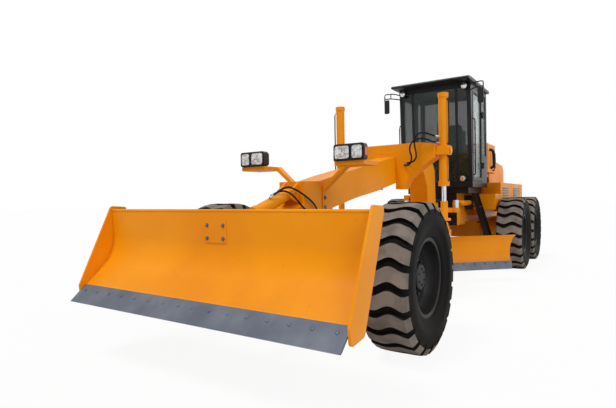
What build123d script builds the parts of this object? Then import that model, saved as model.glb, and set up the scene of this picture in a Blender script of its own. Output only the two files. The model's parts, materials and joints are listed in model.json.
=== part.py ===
from build123d import *
import math
import os

os.makedirs("parts", exist_ok=True)

# Motor grader, millimetres. +Z is up, the machine drives towards -Y and its left side is +X.
# The origin is on the ground under the middle of the whole machine.

# Driving dimensions
FRONT_AXLE_Y = -3266.0
WHEELBASE = 6220.0
TANDEM_SPAN = 1540.0
TRACK_HALF = 1135.0
TYRE_R = 675.0
TYRE_W = 445.0
PIN_GAP = 0.5
SEAT_GAP = 0.3


def back(distance):
    """Row Y of a point so far behind the front axle."""
    return FRONT_AXLE_Y + distance


WHEEL_Z = TYRE_R
TANDEM_Y = back(WHEELBASE)
MIDDLE_AXLE_Y = TANDEM_Y - TANDEM_SPAN / 2
REAR_AXLE_Y = TANDEM_Y + TANDEM_SPAN / 2
SIDES = (("left", 1), ("right", -1))


# Shared shapes
def block(xs, ys, zs, mode=Mode.ADD):
    """A box between two bounds on each axis."""
    centre = [(a + b) / 2 for a, b in (xs, ys, zs)]
    sizes = [abs(b - a) for a, b in (xs, ys, zs)]
    with Locations(tuple(centre)):
        Box(*sizes, mode=mode)


def side_plate(points, x_from, x_to, mode=Mode.ADD):
    """A plate of a side outline (y, z), between two X values."""
    with BuildSketch(Plane.YZ.offset(x_from)) as outline:
        with BuildLine():
            Polyline(*points, close=True)
        make_face()
    extrude(outline.sketch, amount=x_to - x_from, mode=mode)


def front_plate(points, y_from, y_to, mode=Mode.ADD):
    """A plate of a front outline (x, z), between two Y values."""
    with BuildSketch(Plane.XZ.offset(-y_from)) as outline:
        with BuildLine():
            Polyline(*points, close=True)
        make_face()
    extrude(outline.sketch, amount=-(y_to - y_from), mode=mode)


def top_plate(points, z_from, z_to, mode=Mode.ADD):
    """A plate of a plan outline (x, y), between two Z values."""
    with BuildSketch(Plane.XY.offset(z_from)) as outline:
        with BuildLine():
            Polyline(*points, close=True)
        make_face()
    extrude(outline.sketch, amount=z_to - z_from, mode=mode)


def bar(start, end, radius, mode=Mode.ADD):
    """A round bar from one point to another."""
    a, b = Vector(*start), Vector(*end)
    axis = b - a
    with BuildSketch(Plane(origin=a, z_dir=axis.normalized())) as section:
        Circle(radius)
    extrude(section.sketch, amount=axis.length, mode=mode)


def finish(part, label):
    """Name a finished piece and write it."""
    part.label = label
    export_step(part, f"parts/{label}.step")


# Tyres: a carcass of flat facets, with wavy bars across the tread
FACETS = 22
CARCASS_R = 646.0
RIM_R = 330.0
FLANGE_R = 361.0
BEAD_HALF = 160.0
TYRE_SECTIONS = (  # half width, radius over the flats
    (TYRE_W / 2, 480.0),
    (TYRE_W / 2 - 12.0, 592.0),
    (TYRE_W / 2 - 40.0, CARCASS_R),
)
BAR_W = 88.0
BAR_WAVE = 30.0
BAR_SHOULDER_R = 610.0


def facet_ring(x, radius):
    """A regular polygon across the wheel's axle, its flats this far out."""
    with BuildSketch(Plane(origin=(x, 0, 0), x_dir=(0, 0, 1), z_dir=(1, 0, 0))) as ring:
        RegularPolygon(radius, FACETS, major_radius=False, rotation=180.0 / FACETS)
    return ring.sketch


def tyre_solid():
    """One tyre about the X axis, a flat of its tread straight down."""
    with BuildPart() as tyre:
        left = [facet_ring(-x, r) for x, r in TYRE_SECTIONS]
        right = [facet_ring(x, r) for x, r in reversed(TYRE_SECTIONS)]
        for one, two in zip((left + right)[:-1], (left + right)[1:]):
            loft([one, two], ruled=True)
        for side in (-1, 1):
            dish = [facet_ring(side * x, r) for x, r in (TYRE_SECTIONS[0], (BEAD_HALF, FLANGE_R))]
            loft(dish, ruled=True, mode=Mode.SUBTRACT)
        bore = facet_ring(-TYRE_W / 2, RIM_R)
        extrude(bore, amount=TYRE_W, mode=Mode.SUBTRACT)
    shoulder = TYRE_W / 2 - 2.0
    wave = [(-shoulder, -BAR_W / 2), (-60, -BAR_W / 2 - BAR_WAVE), (60, -BAR_W / 2 + BAR_WAVE),
            (shoulder, -BAR_W / 2)]
    outline = wave + [(x, y + BAR_W) for x, y in reversed(wave)]
    ends = [(-shoulder, -BAR_SHOULDER_R), (-shoulder + 34, -TYRE_R), (shoulder - 34, -TYRE_R),
            (shoulder, -BAR_SHOULDER_R), (shoulder - 60, -CARCASS_R + 45), (-shoulder + 60, -CARCASS_R + 45)]
    with BuildPart() as lug:
        top_plate(outline, -TYRE_R, -CARCASS_R + 45)
        front_plate(ends, -BAR_W, BAR_W, mode=Mode.INTERSECT)
    with BuildPart() as treaded:
        add(tyre.part)
        for number in range(FACETS):
            add(lug.part.rotate(Axis.X, number * 360.0 / FACETS))
    return treaded.part


# Rims: a deep dish on the outer side, an open drum on the inner side
RIM_SIDES = 36
RIM_DISH_X = 40.0
RIM_WALL = 14.0
DISC_T = 26.0
HUB_R = 118.0


def rim_ring(x, radius):
    """A many sided ring outline across the wheel's axle."""
    with BuildSketch(Plane(origin=(x, 0, 0), x_dir=(0, 0, 1), z_dir=(1, 0, 0))) as ring:
        RegularPolygon(radius, RIM_SIDES)
    return ring.sketch


def rim_solid(hub_from, hub_to):
    """One rim about the X axis, its deep dish facing +X, its hub between two X values."""
    seat = RIM_R - SEAT_GAP
    edge = BEAD_HALF + SEAT_GAP
    with BuildPart() as rim:
        extrude(rim_ring(-BEAD_HALF, seat), amount=2 * BEAD_HALF + SEAT_GAP)
        extrude(rim_ring(edge, FLANGE_R), amount=RIM_WALL)
        extrude(rim_ring(-edge, FLANGE_R), amount=-RIM_WALL)
        extrude(rim_ring(-edge, seat), amount=SEAT_GAP)
        dish = [rim_ring(edge + RIM_WALL, seat - 6), rim_ring(RIM_DISH_X, seat - 60)]
        loft(dish, ruled=True, mode=Mode.SUBTRACT)
        drum = rim_ring(-edge - RIM_WALL, seat - RIM_WALL)
        extrude(drum, amount=edge + RIM_WALL + RIM_DISH_X - DISC_T, mode=Mode.SUBTRACT)
        bar((hub_from, 0, 0), (hub_to, 0, 0), HUB_R)
        bar((hub_from - 1, 0, 0), (RIM_DISH_X, 0, 0), SPINDLE_R + PIN_GAP, mode=Mode.SUBTRACT)
    return rim.part


# Front wheels
LEAN_X = 740.0
KINGPIN_X = 850.0
SPINDLE_R = 62.0
KNUCKLE_OUT_X = 942.0
SPINDLE_TIP_X = TRACK_HALF + RIM_DISH_X - 6
FRONT_HUB_IN = KNUCKLE_OUT_X + 6 - TRACK_HALF
WHEELS = (  # name, side, axle Y
    ("front_left", 1, FRONT_AXLE_Y),
    ("front_right", -1, FRONT_AXLE_Y),
    ("middle_left", 1, MIDDLE_AXLE_Y),
    ("middle_right", -1, MIDDLE_AXLE_Y),
    ("rear_left", 1, REAR_AXLE_Y),
    ("rear_right", -1, REAR_AXLE_Y),
)
TANDEM_OUT_X = 862.0
REAR_HUB_IN = TANDEM_OUT_X + 6 - TRACK_HALF
tyre_shape = tyre_solid()
front_rim = rim_solid(FRONT_HUB_IN, RIM_DISH_X + 70)
rear_rim = rim_solid(REAR_HUB_IN, RIM_DISH_X + 70)
for wheel_name, side, axle_y in WHEELS:
    at_axle = Location((side * TRACK_HALF, axle_y, WHEEL_Z), (0, 0, 0 if side > 0 else 180))
    with BuildPart() as tyre:
        add(tyre_shape.moved(at_axle))
    finish(tyre.part, f"tyre_{wheel_name}")
    with BuildPart() as rim:
        add((front_rim if "front" in wheel_name else rear_rim).moved(at_axle))
    finish(rim.part, f"rim_{wheel_name}")

# Front axle: a beam on a fore and aft pin, a leaning yoke and a steered knuckle on each side
AXLE_PIN_Z = 760.0
AXLE_PIN_R = 45.0
AXLE_HALF_Y = 88.0
LEAN_EYE_R = 56.0
LEAN_PIN_R = 26.0
YOKE_EAR = (64.0, 88.0)
LEAN_EYE_HALF = YOKE_EAR[0] - 6.0
LEAN_BAR_RISE = 250.0
LEAN_BAR_Y = (-152.0, -188.0)
KINGPIN_R = 26.0
KING_BARREL_R = 44.0
KING_HALF = 108.0
KNUCKLE_PLATE = 26.0
TIE_BALL_Y = 260.0
TIE_BALL_R = 26.0
BEAM_ENDS = ((-700, 640), (-470, 640), (-200, 668), (200, 668), (470, 640), (700, 640), (700, 712),
             (470, 735), (200, 852), (-200, 852), (-470, 735), (-700, 712))
with BuildPart() as axle_beam:
    front_plate(BEAM_ENDS, FRONT_AXLE_Y - LEAN_EYE_HALF, FRONT_AXLE_Y + LEAN_EYE_HALF)
    bar((0, FRONT_AXLE_Y - AXLE_HALF_Y, AXLE_PIN_Z), (0, FRONT_AXLE_Y + AXLE_HALF_Y, AXLE_PIN_Z), 92)
    for side in (1, -1):
        x = side * LEAN_X
        bar((x, FRONT_AXLE_Y - LEAN_EYE_HALF, WHEEL_Z), (x, FRONT_AXLE_Y + LEAN_EYE_HALF, WHEEL_Z), LEAN_EYE_R)
        bar((x, FRONT_AXLE_Y - LEAN_EYE_HALF, WHEEL_Z), (x, FRONT_AXLE_Y + LEAN_EYE_HALF, WHEEL_Z),
            LEAN_PIN_R + PIN_GAP, mode=Mode.SUBTRACT)
    bar((0, FRONT_AXLE_Y - AXLE_HALF_Y, AXLE_PIN_Z), (0, FRONT_AXLE_Y + AXLE_HALF_Y, AXLE_PIN_Z),
        AXLE_PIN_R + PIN_GAP, mode=Mode.SUBTRACT)
finish(axle_beam.part, "axle_beam")

for side_name, side in SIDES:
    lean_x = side * LEAN_X
    king_x = side * KINGPIN_X
    king_z = (WHEEL_Z - KING_HALF, WHEEL_Z + KING_HALF)
    # lean yoke: two ears round the beam's eye, a barrel for the kingpin and a horn for the lean bar
    with BuildPart() as yoke:
        for fore in (-1, 1):
            near, far = FRONT_AXLE_Y + fore * YOKE_EAR[0], FRONT_AXLE_Y + fore * YOKE_EAR[1]
            bar((lean_x, near, WHEEL_Z), (lean_x, far, WHEEL_Z), 58)
            front_plate(((lean_x, 617), (side * 802, 590), (side * 822, 590), (side * 822, 760),
                         (side * 802, 760), (lean_x, 733)), near, far)
        block((side * 802, side * 822), (FRONT_AXLE_Y - YOKE_EAR[1], FRONT_AXLE_Y + YOKE_EAR[1]), (590, 760))
        bar((king_x, FRONT_AXLE_Y, king_z[0]), (king_x, FRONT_AXLE_Y, king_z[1]), KING_BARREL_R)
        bar((lean_x, FRONT_AXLE_Y - YOKE_EAR[1], WHEEL_Z), (lean_x, FRONT_AXLE_Y + YOKE_EAR[1], WHEEL_Z),
            LEAN_PIN_R)
        horn = (FRONT_AXLE_Y - YOKE_EAR[1], FRONT_AXLE_Y + LEAN_BAR_Y[0] + SEAT_GAP)
        front_plate(((side * 700, 690), (side * 790, 690), (side * 778, 925), (side * 712, 925)),
                    FRONT_AXLE_Y - YOKE_EAR[1], FRONT_AXLE_Y - YOKE_EAR[0])
        bar((lean_x, horn[0] + 24, WHEEL_Z + LEAN_BAR_RISE), (lean_x, horn[1], WHEEL_Z + LEAN_BAR_RISE), 33)
        bar((king_x, FRONT_AXLE_Y, king_z[0] - 1), (king_x, FRONT_AXLE_Y, king_z[1] + 1),
            KINGPIN_R + PIN_GAP, mode=Mode.SUBTRACT)
    finish(yoke.part, f"yoke_{side_name}")
    # knuckle: a fork over the barrel, the spindle and the steering arm
    arm_z = king_z[0] - 6 - KNUCKLE_PLATE
    with BuildPart() as knuckle:
        for low in (arm_z, king_z[1] + 6):
            bar((king_x, FRONT_AXLE_Y, low), (king_x, FRONT_AXLE_Y, low + KNUCKLE_PLATE), KING_BARREL_R)
            block((king_x, side * KNUCKLE_OUT_X), (FRONT_AXLE_Y - 44, FRONT_AXLE_Y + 44),
                  (low, low + KNUCKLE_PLATE))
        block((side * 908, side * KNUCKLE_OUT_X), (FRONT_AXLE_Y - 44, FRONT_AXLE_Y + 44),
              (arm_z, king_z[1] + 6 + KNUCKLE_PLATE))
        bar((king_x, FRONT_AXLE_Y, arm_z), (king_x, FRONT_AXLE_Y, king_z[1] + 6 + KNUCKLE_PLATE), KINGPIN_R)
        bar((side * 908, FRONT_AXLE_Y, WHEEL_Z), (side * SPINDLE_TIP_X, FRONT_AXLE_Y, WHEEL_Z),
            SPINDLE_R)
        top_plate([(side * 908, FRONT_AXLE_Y + 30), (side * KNUCKLE_OUT_X, FRONT_AXLE_Y + 30), (side * 928, back(150)),
                   (side * (LEAN_X + 12), back(TIE_BALL_Y + 22)), (side * (LEAN_X - 12), back(TIE_BALL_Y - 22)),
                   (side * 890, back(112))], WHEEL_Z - 12, WHEEL_Z + 12)
        with Locations(Location((side * LEAN_X, back(TIE_BALL_Y), WHEEL_Z), (0, 0, 90))):
            Sphere(TIE_BALL_R)
    finish(knuckle.part, f"knuckle_{side_name}")

TIE_ROD_Z = WHEEL_Z + TIE_BALL_R + SEAT_GAP
with BuildPart() as lean_bar:
    bar_z = WHEEL_Z + LEAN_BAR_RISE
    for x in (-LEAN_X, LEAN_X):
        bar((x, back(LEAN_BAR_Y[0]), bar_z), (x, back(LEAN_BAR_Y[1]), bar_z), 42)
    bar((-LEAN_X, back(-170), bar_z), (LEAN_X, back(-170), bar_z), 17)
finish(lean_bar.part, "lean_bar")
with BuildPart() as tie_rod:
    for x in (-LEAN_X, LEAN_X):
        bar((x, back(TIE_BALL_Y), TIE_ROD_Z), (x, back(TIE_BALL_Y), TIE_ROD_Z + 38), 34)
    bar((-LEAN_X, back(TIE_BALL_Y), TIE_ROD_Z + 19), (LEAN_X, back(TIE_BALL_Y), TIE_ROD_Z + 19), 18)
finish(tie_rod.part, "tie_rod")

# Front frame: the arched beam, its head over the axle and the neck down to the hitch
BEAM_HALF = 150.0
HITCH_Y = back(4050)
HITCH_Z = (930.0, 1280.0)
HITCH_PIN_R = 60.0
HEAD_FLOOR = 1030.0
BEAM_SIDE = ((-235, 1563), (60, 1570), (389, 1642), (2629, 2060), (3423, 2211), (3560, 2150), (3800, 1820),
             (3830, 1300), (3830, HITCH_Z[1]), (3830, HITCH_Z[0]), (3560, HITCH_Z[0]), (3440, 1150), (3400, 1560),
             (3235, 1797), (1443, 1472), (869, 1392), (320, 1290), (206, HEAD_FLOOR), (-215, HEAD_FLOOR), (-345, 1120), (-345, 1300), (-235, 1340))
DOZER_PIVOT = (-400.0, 850.0)
DOZER_PIVOT_R = 32.0
CYL_PIN = (-300.0, 1440.0)
CYL_PIN_R = 20.0
DRAW_PIN = (330.0, 880.0)
DRAW_PIN_R = 28.0
DRAW_EYE_R = 56.0
DRAW_EYE_HALF = 61.5
ART_X = 430.0
ART_ARM_Z = (1110.0, 1190.0)
with BuildPart() as main_frame:
    side_plate([(back(y), z) for y, z in BEAM_SIDE], -BEAM_HALF, BEAM_HALF)
    # hangers for the axle pin
    for near, far in ((-96, -124), (96, 124)):
        front_plate(((-150, HEAD_FLOOR + 2), (-110, 690), (110, 690), (150, HEAD_FLOOR + 2)), back(near), back(far))
    bar((0, back(-124), AXLE_PIN_Z), (0, back(124), AXLE_PIN_Z), AXLE_PIN_R)
    # ears for the front blade's pivot
    for side in (1, -1):
        side_plate([(back(y), z) for y, z in ((-345, 1300), (-345, 1040), (-455, 900), (-455, 810), (-360, 795),
                    (-215, 1031), (-215, 1300))], side * 110, side * 150)
        side_plate([(back(y), z) for y, z in ((-230, 1560), (-300, 1510), (-352, 1480), (-352, 1400),
                    (-300, 1372), (-230, 1345))], side * 62, side * 90)
    bar((-90, back(CYL_PIN[0]), CYL_PIN[1]), (90, back(CYL_PIN[0]), CYL_PIN[1]), CYL_PIN_R + PIN_GAP,
        mode=Mode.SUBTRACT)
    bar((-150, back(DOZER_PIVOT[0]), DOZER_PIVOT[1]), (150, back(DOZER_PIVOT[0]), DOZER_PIVOT[1]), DOZER_PIVOT_R)
    # fork and cross pin for the drawbar's eye, behind the head
    for side in (1, -1):
        side_plate([(back(y), z) for y, z in ((110, 1040), (120, 810), (330, 824), (382, 850), (386, 905), (330, 936),
                    (206, 1031))], side * 62, side * 92)
    bar((-98, back(DRAW_PIN[0]), DRAW_PIN[1]), (98, back(DRAW_PIN[0]), DRAW_PIN[1]), DRAW_PIN_R)
    # hitch: a barrel behind the neck, its pin, and an arm each side for the articulation cylinders
    bar((0, HITCH_Y, HITCH_Z[0]), (0, HITCH_Y, HITCH_Z[1]), 120)
    block((-100, 100), (back(3820), HITCH_Y), HITCH_Z)
    bar((0, HITCH_Y, HITCH_Z[0] - 58), (0, HITCH_Y, HITCH_Z[1] + 58), HITCH_PIN_R)
    for side in (1, -1):
        top_plate([(side * 90, HITCH_Y - 70), (side * 120, back(3790)), (side * (ART_X - 40), HITCH_Y - 60),
                   (side * (ART_X + 50), HITCH_Y - 30), (side * (ART_X + 50), HITCH_Y + 30),
                   (side * (ART_X - 40), HITCH_Y + 60), (side * 90, HITCH_Y + 60)], ART_ARM_Z[0], ART_ARM_Z[1])
        bar((side * ART_X, HITCH_Y, ART_ARM_Z[0]), (side * ART_X, HITCH_Y, ART_ARM_Z[1]), 66)
finish(main_frame.part, "main_frame")

# Blade lift: a saddle over the beam, two upright cylinders and their rods
LIFT_X = 790.0
LIFT_Y = back(2200)
LIFT_YOKE_Z = 2010.0
LIFT_BARREL_R = 62.0
LIFT_BARREL_Z = (1530.0, 2780.0)
LIFT_ROD_R = 29.0


def beam_top(distance):
    """Height of the beam's upper face, so far behind the front axle."""
    return 1642 + (distance - 389) * (2211 - 1642) / (3423 - 389)


with BuildPart() as lift_saddle:
    for side in (1, -1):
        front_plate([(side * x, z) for x, z in ((BEAM_HALF + SEAT_GAP, 2130), (BEAM_HALF + SEAT_GAP, 1650),
                     (330, 1650), (560, 1830), (700, 1915), (700, 2105), (520, 2130))], back(2080), back(2320))
        front_plate([(side * x, z) for x, z in ((BEAM_HALF + SEAT_GAP, 1650), (BEAM_HALF + SEAT_GAP, 1500),
                     (250, 1500), (330, 1650))], back(2080), back(2320))
    block((-BEAM_HALF - 60, BEAM_HALF + 60), (back(2080), back(2320)), (beam_top(2320) + SEAT_GAP, 2130))
    for side in (1, -1):
        block((side * 690, side * (LIFT_X - LIFT_BARREL_R - 22)), (LIFT_Y - 90, LIFT_Y + 90), (1940, 2080))
        block((side * 700, side * (LIFT_X + LIFT_BARREL_R + 22)), (LIFT_Y - 88, LIFT_Y + 88), (1950, 2070))
        bar((side * LIFT_X, LIFT_Y, 1949), (side * LIFT_X, LIFT_Y, 2071), LIFT_BARREL_R + SEAT_GAP, mode=Mode.SUBTRACT)
        bar((side * (LIFT_X + LIFT_BARREL_R + 22), LIFT_Y, LIFT_YOKE_Z),
            (side * (LIFT_X + LIFT_BARREL_R + 44), LIFT_Y, LIFT_YOKE_Z), 46)
finish(lift_saddle.part, "lift_saddle")

with BuildPart() as lift_cylinders:
    for side in (1, -1):
        at = (side * LIFT_X, LIFT_Y)
        bar((*at, LIFT_BARREL_Z[0]), (*at, LIFT_BARREL_Z[1]), LIFT_BARREL_R)
        bar((*at, LIFT_BARREL_Z[0]), (*at, LIFT_BARREL_Z[0] + 70), LIFT_BARREL_R + 10)
        bar((*at, LIFT_BARREL_Z[1] - 60), (*at, LIFT_BARREL_Z[1]), LIFT_BARREL_R + 8)
        bar((*at, LIFT_BARREL_Z[0] - 1), (*at, LIFT_BARREL_Z[1] - 70), LIFT_ROD_R + SEAT_GAP, mode=Mode.SUBTRACT)
finish(lift_cylinders.part, "lift_cylinders")

LIFT_BALL_Z = 1010.0
LIFT_BALL_R = 52.0
LIFT_CAP_Z = LIFT_BALL_Z + LIFT_BALL_R + 3
with BuildPart() as lift_rods:
    for side in (1, -1):
        at = (side * LIFT_X, LIFT_Y)
        bar((*at, 1300), (*at, 2180), LIFT_ROD_R)
        bar((*at, LIFT_CAP_Z), (*at, LIFT_CAP_Z + 34), 84)
        bar((*at, LIFT_CAP_Z + 30), (*at, 1330), 46)
finish(lift_rods.part, "lift_rods")

# Lamp posts and headlamps on the head
LAMP_X = (430.0, 756.0)
LAMP_Z = (1760.0, 1908.0)
with BuildPart() as lamp_posts:
    for side in (1, -1):
        front_plate([(side * x, z) for x, z in ((BEAM_HALF + SEAT_GAP, 1250), (BEAM_HALF + 12, 1250),
                     (BEAM_HALF + 12, 1470), (440, 1705), (752, 1705), (752, 1748), (424, 1748),
                     (BEAM_HALF + SEAT_GAP, 1500))], back(100), back(180))
        block((side * 430, side * 752), (back(-120), back(180)), (1705, 1748))
finish(lamp_posts.part, "lamp_posts")
with BuildPart() as headlamps:
    for side in (1, -1):
        block((side * LAMP_X[0], side * LAMP_X[1]), (back(-145), back(-20)), (1748 + SEAT_GAP, LAMP_Z[1]))
finish(headlamps.part, "headlamps")

# Drawbar: a frame from the ball to the circle, with a lug each side for the lift rods
CIRCLE_Y = back(2750)
CIRCLE_R = 690.0
CIRCLE_Z = (800.0, 862.0)
DRAWBAR_Z = (CIRCLE_Z[1] + SEAT_GAP, 940.0)
with BuildPart() as drawbar:
    for side in (1, -1):
        top_plate([(side * 20, back(460)), (side * 70, back(430)), (side * 130, back(540)), (side * 640, back(1900)),
                   (side * 640, back(2450)), (side * 470, back(2450)), (side * 470, back(2000)),
                   (side * 20, back(700))], *DRAWBAR_Z)
    with BuildSketch(Plane.XY.offset(DRAWBAR_Z[0])) as plate:
        with Locations((0, CIRCLE_Y)):
            Circle(CIRCLE_R - 20)
            Circle(CIRCLE_R - 190, mode=Mode.SUBTRACT)
    extrude(plate.sketch, amount=DRAWBAR_Z[1] - DRAWBAR_Z[0])
    block((-DRAW_EYE_HALF, DRAW_EYE_HALF), (back(DRAW_PIN[0]), back(720)), (842, 918))
    draw_pin_at = (back(DRAW_PIN[0]), DRAW_PIN[1])
    bar((-DRAW_EYE_HALF, *draw_pin_at), (DRAW_EYE_HALF, *draw_pin_at), DRAW_EYE_R)
    bar((-DRAW_EYE_HALF - 1, *draw_pin_at), (DRAW_EYE_HALF + 1, *draw_pin_at), DRAW_PIN_R + PIN_GAP, mode=Mode.SUBTRACT)
    for side in (1, -1):
        block((side * 600, side * 850), (LIFT_Y - 110, LIFT_Y + 110), (DRAWBAR_Z[0], DRAWBAR_Z[1]))
        bar((side * LIFT_X, LIFT_Y, DRAWBAR_Z[1] - 10), (side * LIFT_X, LIFT_Y, LIFT_BALL_Z), 40)
        with Locations((side * LIFT_X, LIFT_Y, LIFT_BALL_Z)):
            Sphere(LIFT_BALL_R)
    bar((0, CIRCLE_Y - 560, DRAWBAR_Z[1] - 5), (0, CIRCLE_Y - 560, 1180), 95)
finish(drawbar.part, "drawbar")

# Circle: a toothed ring under the drawbar, with two arms down to the blade
BLADE_TURN = 43.0
BLADE_HALF = 1830.0
BLADE_SHIFTED = 20.0
BLADE_RUNS = (BLADE_SHIFTED - BLADE_HALF, BLADE_SHIFTED + BLADE_HALF)
SLIDE_GAP = 0.5
CARRIER_RUNS = (-560.0, 560.0)
RAIL_Z = (400.0, 610.0)
TIP_PIN = (245.0, 330.0)
TIP_PIN_R = 16.0
MOLD_FACE = ((-80, 760), (10, 700), (74, 600), (100, 480), (88, 370), (52, 270))
along = (math.cos(math.radians(BLADE_TURN)), math.sin(math.radians(BLADE_TURN)))
across = (-along[1], along[0])
blade_plane = Plane(origin=(0, CIRCLE_Y, 0), x_dir=(along[0], along[1], 0), z_dir=(0, 0, 1))


def blade_point(run, depth):
    """Plan point of the turned blade: run along it, depth behind its middle line."""
    return (run * along[0] + depth * across[0], CIRCLE_Y + run * along[1] + depth * across[1])


def blade_profile(points, run_from, run_to, mode=Mode.ADD):
    """A solid along the blade, of an outline (depth behind, height), between two runs."""
    plane = Plane(origin=(run_from * along[0], CIRCLE_Y + run_from * along[1], 0),
                  x_dir=(across[0], across[1], 0), z_dir=(along[0], along[1], 0))
    with BuildSketch(plane) as outline:
        with BuildLine():
            Polyline(*points, close=True)
        make_face()
    extrude(outline.sketch, amount=run_to - run_from, mode=mode)


with BuildPart() as circle:
    with BuildSketch(Plane.XY.offset(CIRCLE_Z[0])) as ring:
        with Locations((0, CIRCLE_Y)):
            Circle(CIRCLE_R)
            Circle(CIRCLE_R - 130, mode=Mode.SUBTRACT)
    extrude(ring.sketch, amount=CIRCLE_Z[1] - CIRCLE_Z[0])
    for run in CARRIER_RUNS:
        blade_profile(((190, CIRCLE_Z[0] + 4), (420, CIRCLE_Z[0] + 4), (420, 620), (300, 285), (230, 285), (214, 330),
                       (230, 380), (280, 560)), run - 20, run + 20)
        bar((*blade_point(run - 21, TIP_PIN[0]), TIP_PIN[1]), (*blade_point(run + 21, TIP_PIN[0]), TIP_PIN[1]),
            TIP_PIN_R + PIN_GAP, mode=Mode.SUBTRACT)
finish(circle.part, "circle")
with BuildPart() as blade_carrier:
    for run in CARRIER_RUNS:
        for out in (-38, 38):
            blade_profile(((168, 300), (262, 290), (262, 372), (205, 420), (200, 705), (168, 705), (168, 420)),
                          run + out - 12, run + out + 12)
        bar((*blade_point(run - 48, TIP_PIN[0]), TIP_PIN[1]), (*blade_point(run + 48, TIP_PIN[0]), TIP_PIN[1]), TIP_PIN_R)
    for z in RAIL_Z:
        blade_profile(((168, z - 24), (196, z - 24), (196, z + 24), (168, z + 24)), -CARRIER_RUNS[1], CARRIER_RUNS[1])
finish(blade_carrier.part, "blade_carrier")

MOLD_T = 22.0
with BuildPart() as moldboard:
    rear_face = [(d + MOLD_T, z) for d, z in reversed(MOLD_FACE)]
    blade_profile(list(MOLD_FACE) + rear_face, *BLADE_RUNS)
    for z in RAIL_Z:
        blade_profile(((100, z - 16), (168 - SLIDE_GAP, z - 16), (168 - SLIDE_GAP, z + 16), (100, z + 16)),
                      BLADE_RUNS[0] + 60, BLADE_RUNS[1] - 60)
finish(moldboard.part, "moldboard")
with BuildPart() as cutting_edge:
    blade_profile(((MOLD_FACE[-1][0] - SEAT_GAP, 330), (28, 200), (48, 200), (MOLD_FACE[-1][0] + 16, 268),
                   (MOLD_FACE[-1][0] - SEAT_GAP, 269)), *BLADE_RUNS)
finish(cutting_edge.part, "cutting_edge")

# Front blade: a curved board on two arms, lifted by one cylinder on the centre line
DOZER_HALF = 1400.0
DOZER_FACE = ((-1300, 1309), (-1304, 1127), (-1310, 971), (-1350, 879), (-1412, 803), (-1494, 727), (-1568, 655))
DOZER_T = 14.0
DOZER_END = ((-1312, 1350), (-1646, 638), (-1634, 521), (-1455, 541), (-1303, 901), (-1149, 1289), (-1148, 1339))
DOZER_EDGE = ((-1617, 603), (-1738, 510), (-1710, 500), (-1590, 600))
DOZER_EYE = (-1200.0, 1140.0)
DOZER_EYE_R = 29.0
DOZER_PIN_R = 22.0


def placed(points):
    """Side outline points given behind the front axle, in the machine's own Y."""
    return [(back(y), z) for y, z in points]


with BuildPart() as dozer_blade:
    behind = [(y + DOZER_T + 4, z) for y, z in reversed(DOZER_FACE)]
    side_plate(placed(list(DOZER_FACE) + behind), -DOZER_HALF, DOZER_HALF)
    for side in (1, -1):
        side_plate(placed(DOZER_END), side * (DOZER_HALF - 20), side * DOZER_HALF)
        side_plate(placed(((-400, 905), (-1150, 1000), (-1286, 1180), (-1290, 1000), (-1338, 879), (-1390, 815), (-1250, 720),
                           (-1000, 740), (-400, 800), (-345, 850))), side * 60, side * 100)
        bar((side * 60, back(DOZER_PIVOT[0]), DOZER_PIVOT[1]), (side * 100, back(DOZER_PIVOT[0]), DOZER_PIVOT[1]), 58)
        bar((side * 59, back(DOZER_PIVOT[0]), DOZER_PIVOT[1]), (side * 101, back(DOZER_PIVOT[0]), DOZER_PIVOT[1]),
            DOZER_PIVOT_R + PIN_GAP, mode=Mode.SUBTRACT)
        side_plate(placed(((-1290, 1220), (-1215, 1190), (-1165, 1140), (-1200, 1095), (-1290, 1050))),
                   side * 42, side * 62)
    bar((-62, back(DOZER_EYE[0]), DOZER_EYE[1]), (62, back(DOZER_EYE[0]), DOZER_EYE[1]), DOZER_PIN_R)
finish(dozer_blade.part, "dozer_blade")
with BuildPart() as dozer_edge:
    side_plate(placed(((-1568 - 8, 648), (-1738, 510), (-1722, 500), (-1560, 630))), -DOZER_HALF + 20 + SEAT_GAP,
               DOZER_HALF - 20 - SEAT_GAP)
finish(dozer_edge.part, "dozer_edge")

DOZER_BARREL_R = 57.0
DOZER_BARREL_LEN = 560.0
DOZER_ROD_R = 30.0
CYL_AXIS = (Vector(0, DOZER_EYE[0], DOZER_EYE[1]) - Vector(0, CYL_PIN[0], CYL_PIN[1]))
CYL_LENGTH = CYL_AXIS.length
CYL_AXIS = CYL_AXIS.normalized()


def on_dozer_cylinder(reach):
    """A point on the front cylinder's axis, so far from its frame pin."""
    return (0, back(CYL_PIN[0]) + reach * CYL_AXIS.Y, CYL_PIN[1] + reach * CYL_AXIS.Z)


with BuildPart() as dozer_barrel:
    bar((-57, back(CYL_PIN[0]), CYL_PIN[1]), (57, back(CYL_PIN[0]), CYL_PIN[1]), 48)
    bar(on_dozer_cylinder(20), on_dozer_cylinder(DOZER_BARREL_LEN), DOZER_BARREL_R)
    bar(on_dozer_cylinder(DOZER_BARREL_LEN - 50), on_dozer_cylinder(DOZER_BARREL_LEN), DOZER_BARREL_R + 8)
    bar(on_dozer_cylinder(60), on_dozer_cylinder(DOZER_BARREL_LEN + 1), DOZER_ROD_R + SEAT_GAP, mode=Mode.SUBTRACT)
    bar((-82, back(CYL_PIN[0]), CYL_PIN[1]), (82, back(CYL_PIN[0]), CYL_PIN[1]), CYL_PIN_R)
finish(dozer_barrel.part, "dozer_barrel")
with BuildPart() as dozer_rod:
    bar(on_dozer_cylinder(180), on_dozer_cylinder(CYL_LENGTH - 40), DOZER_ROD_R)
    bar((-34, back(DOZER_EYE[0]), DOZER_EYE[1]), (34, back(DOZER_EYE[0]), DOZER_EYE[1]), 52)
    bar((-35, back(DOZER_EYE[0]), DOZER_EYE[1]), (35, back(DOZER_EYE[0]), DOZER_EYE[1]), DOZER_EYE_R,
        mode=Mode.SUBTRACT)
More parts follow.
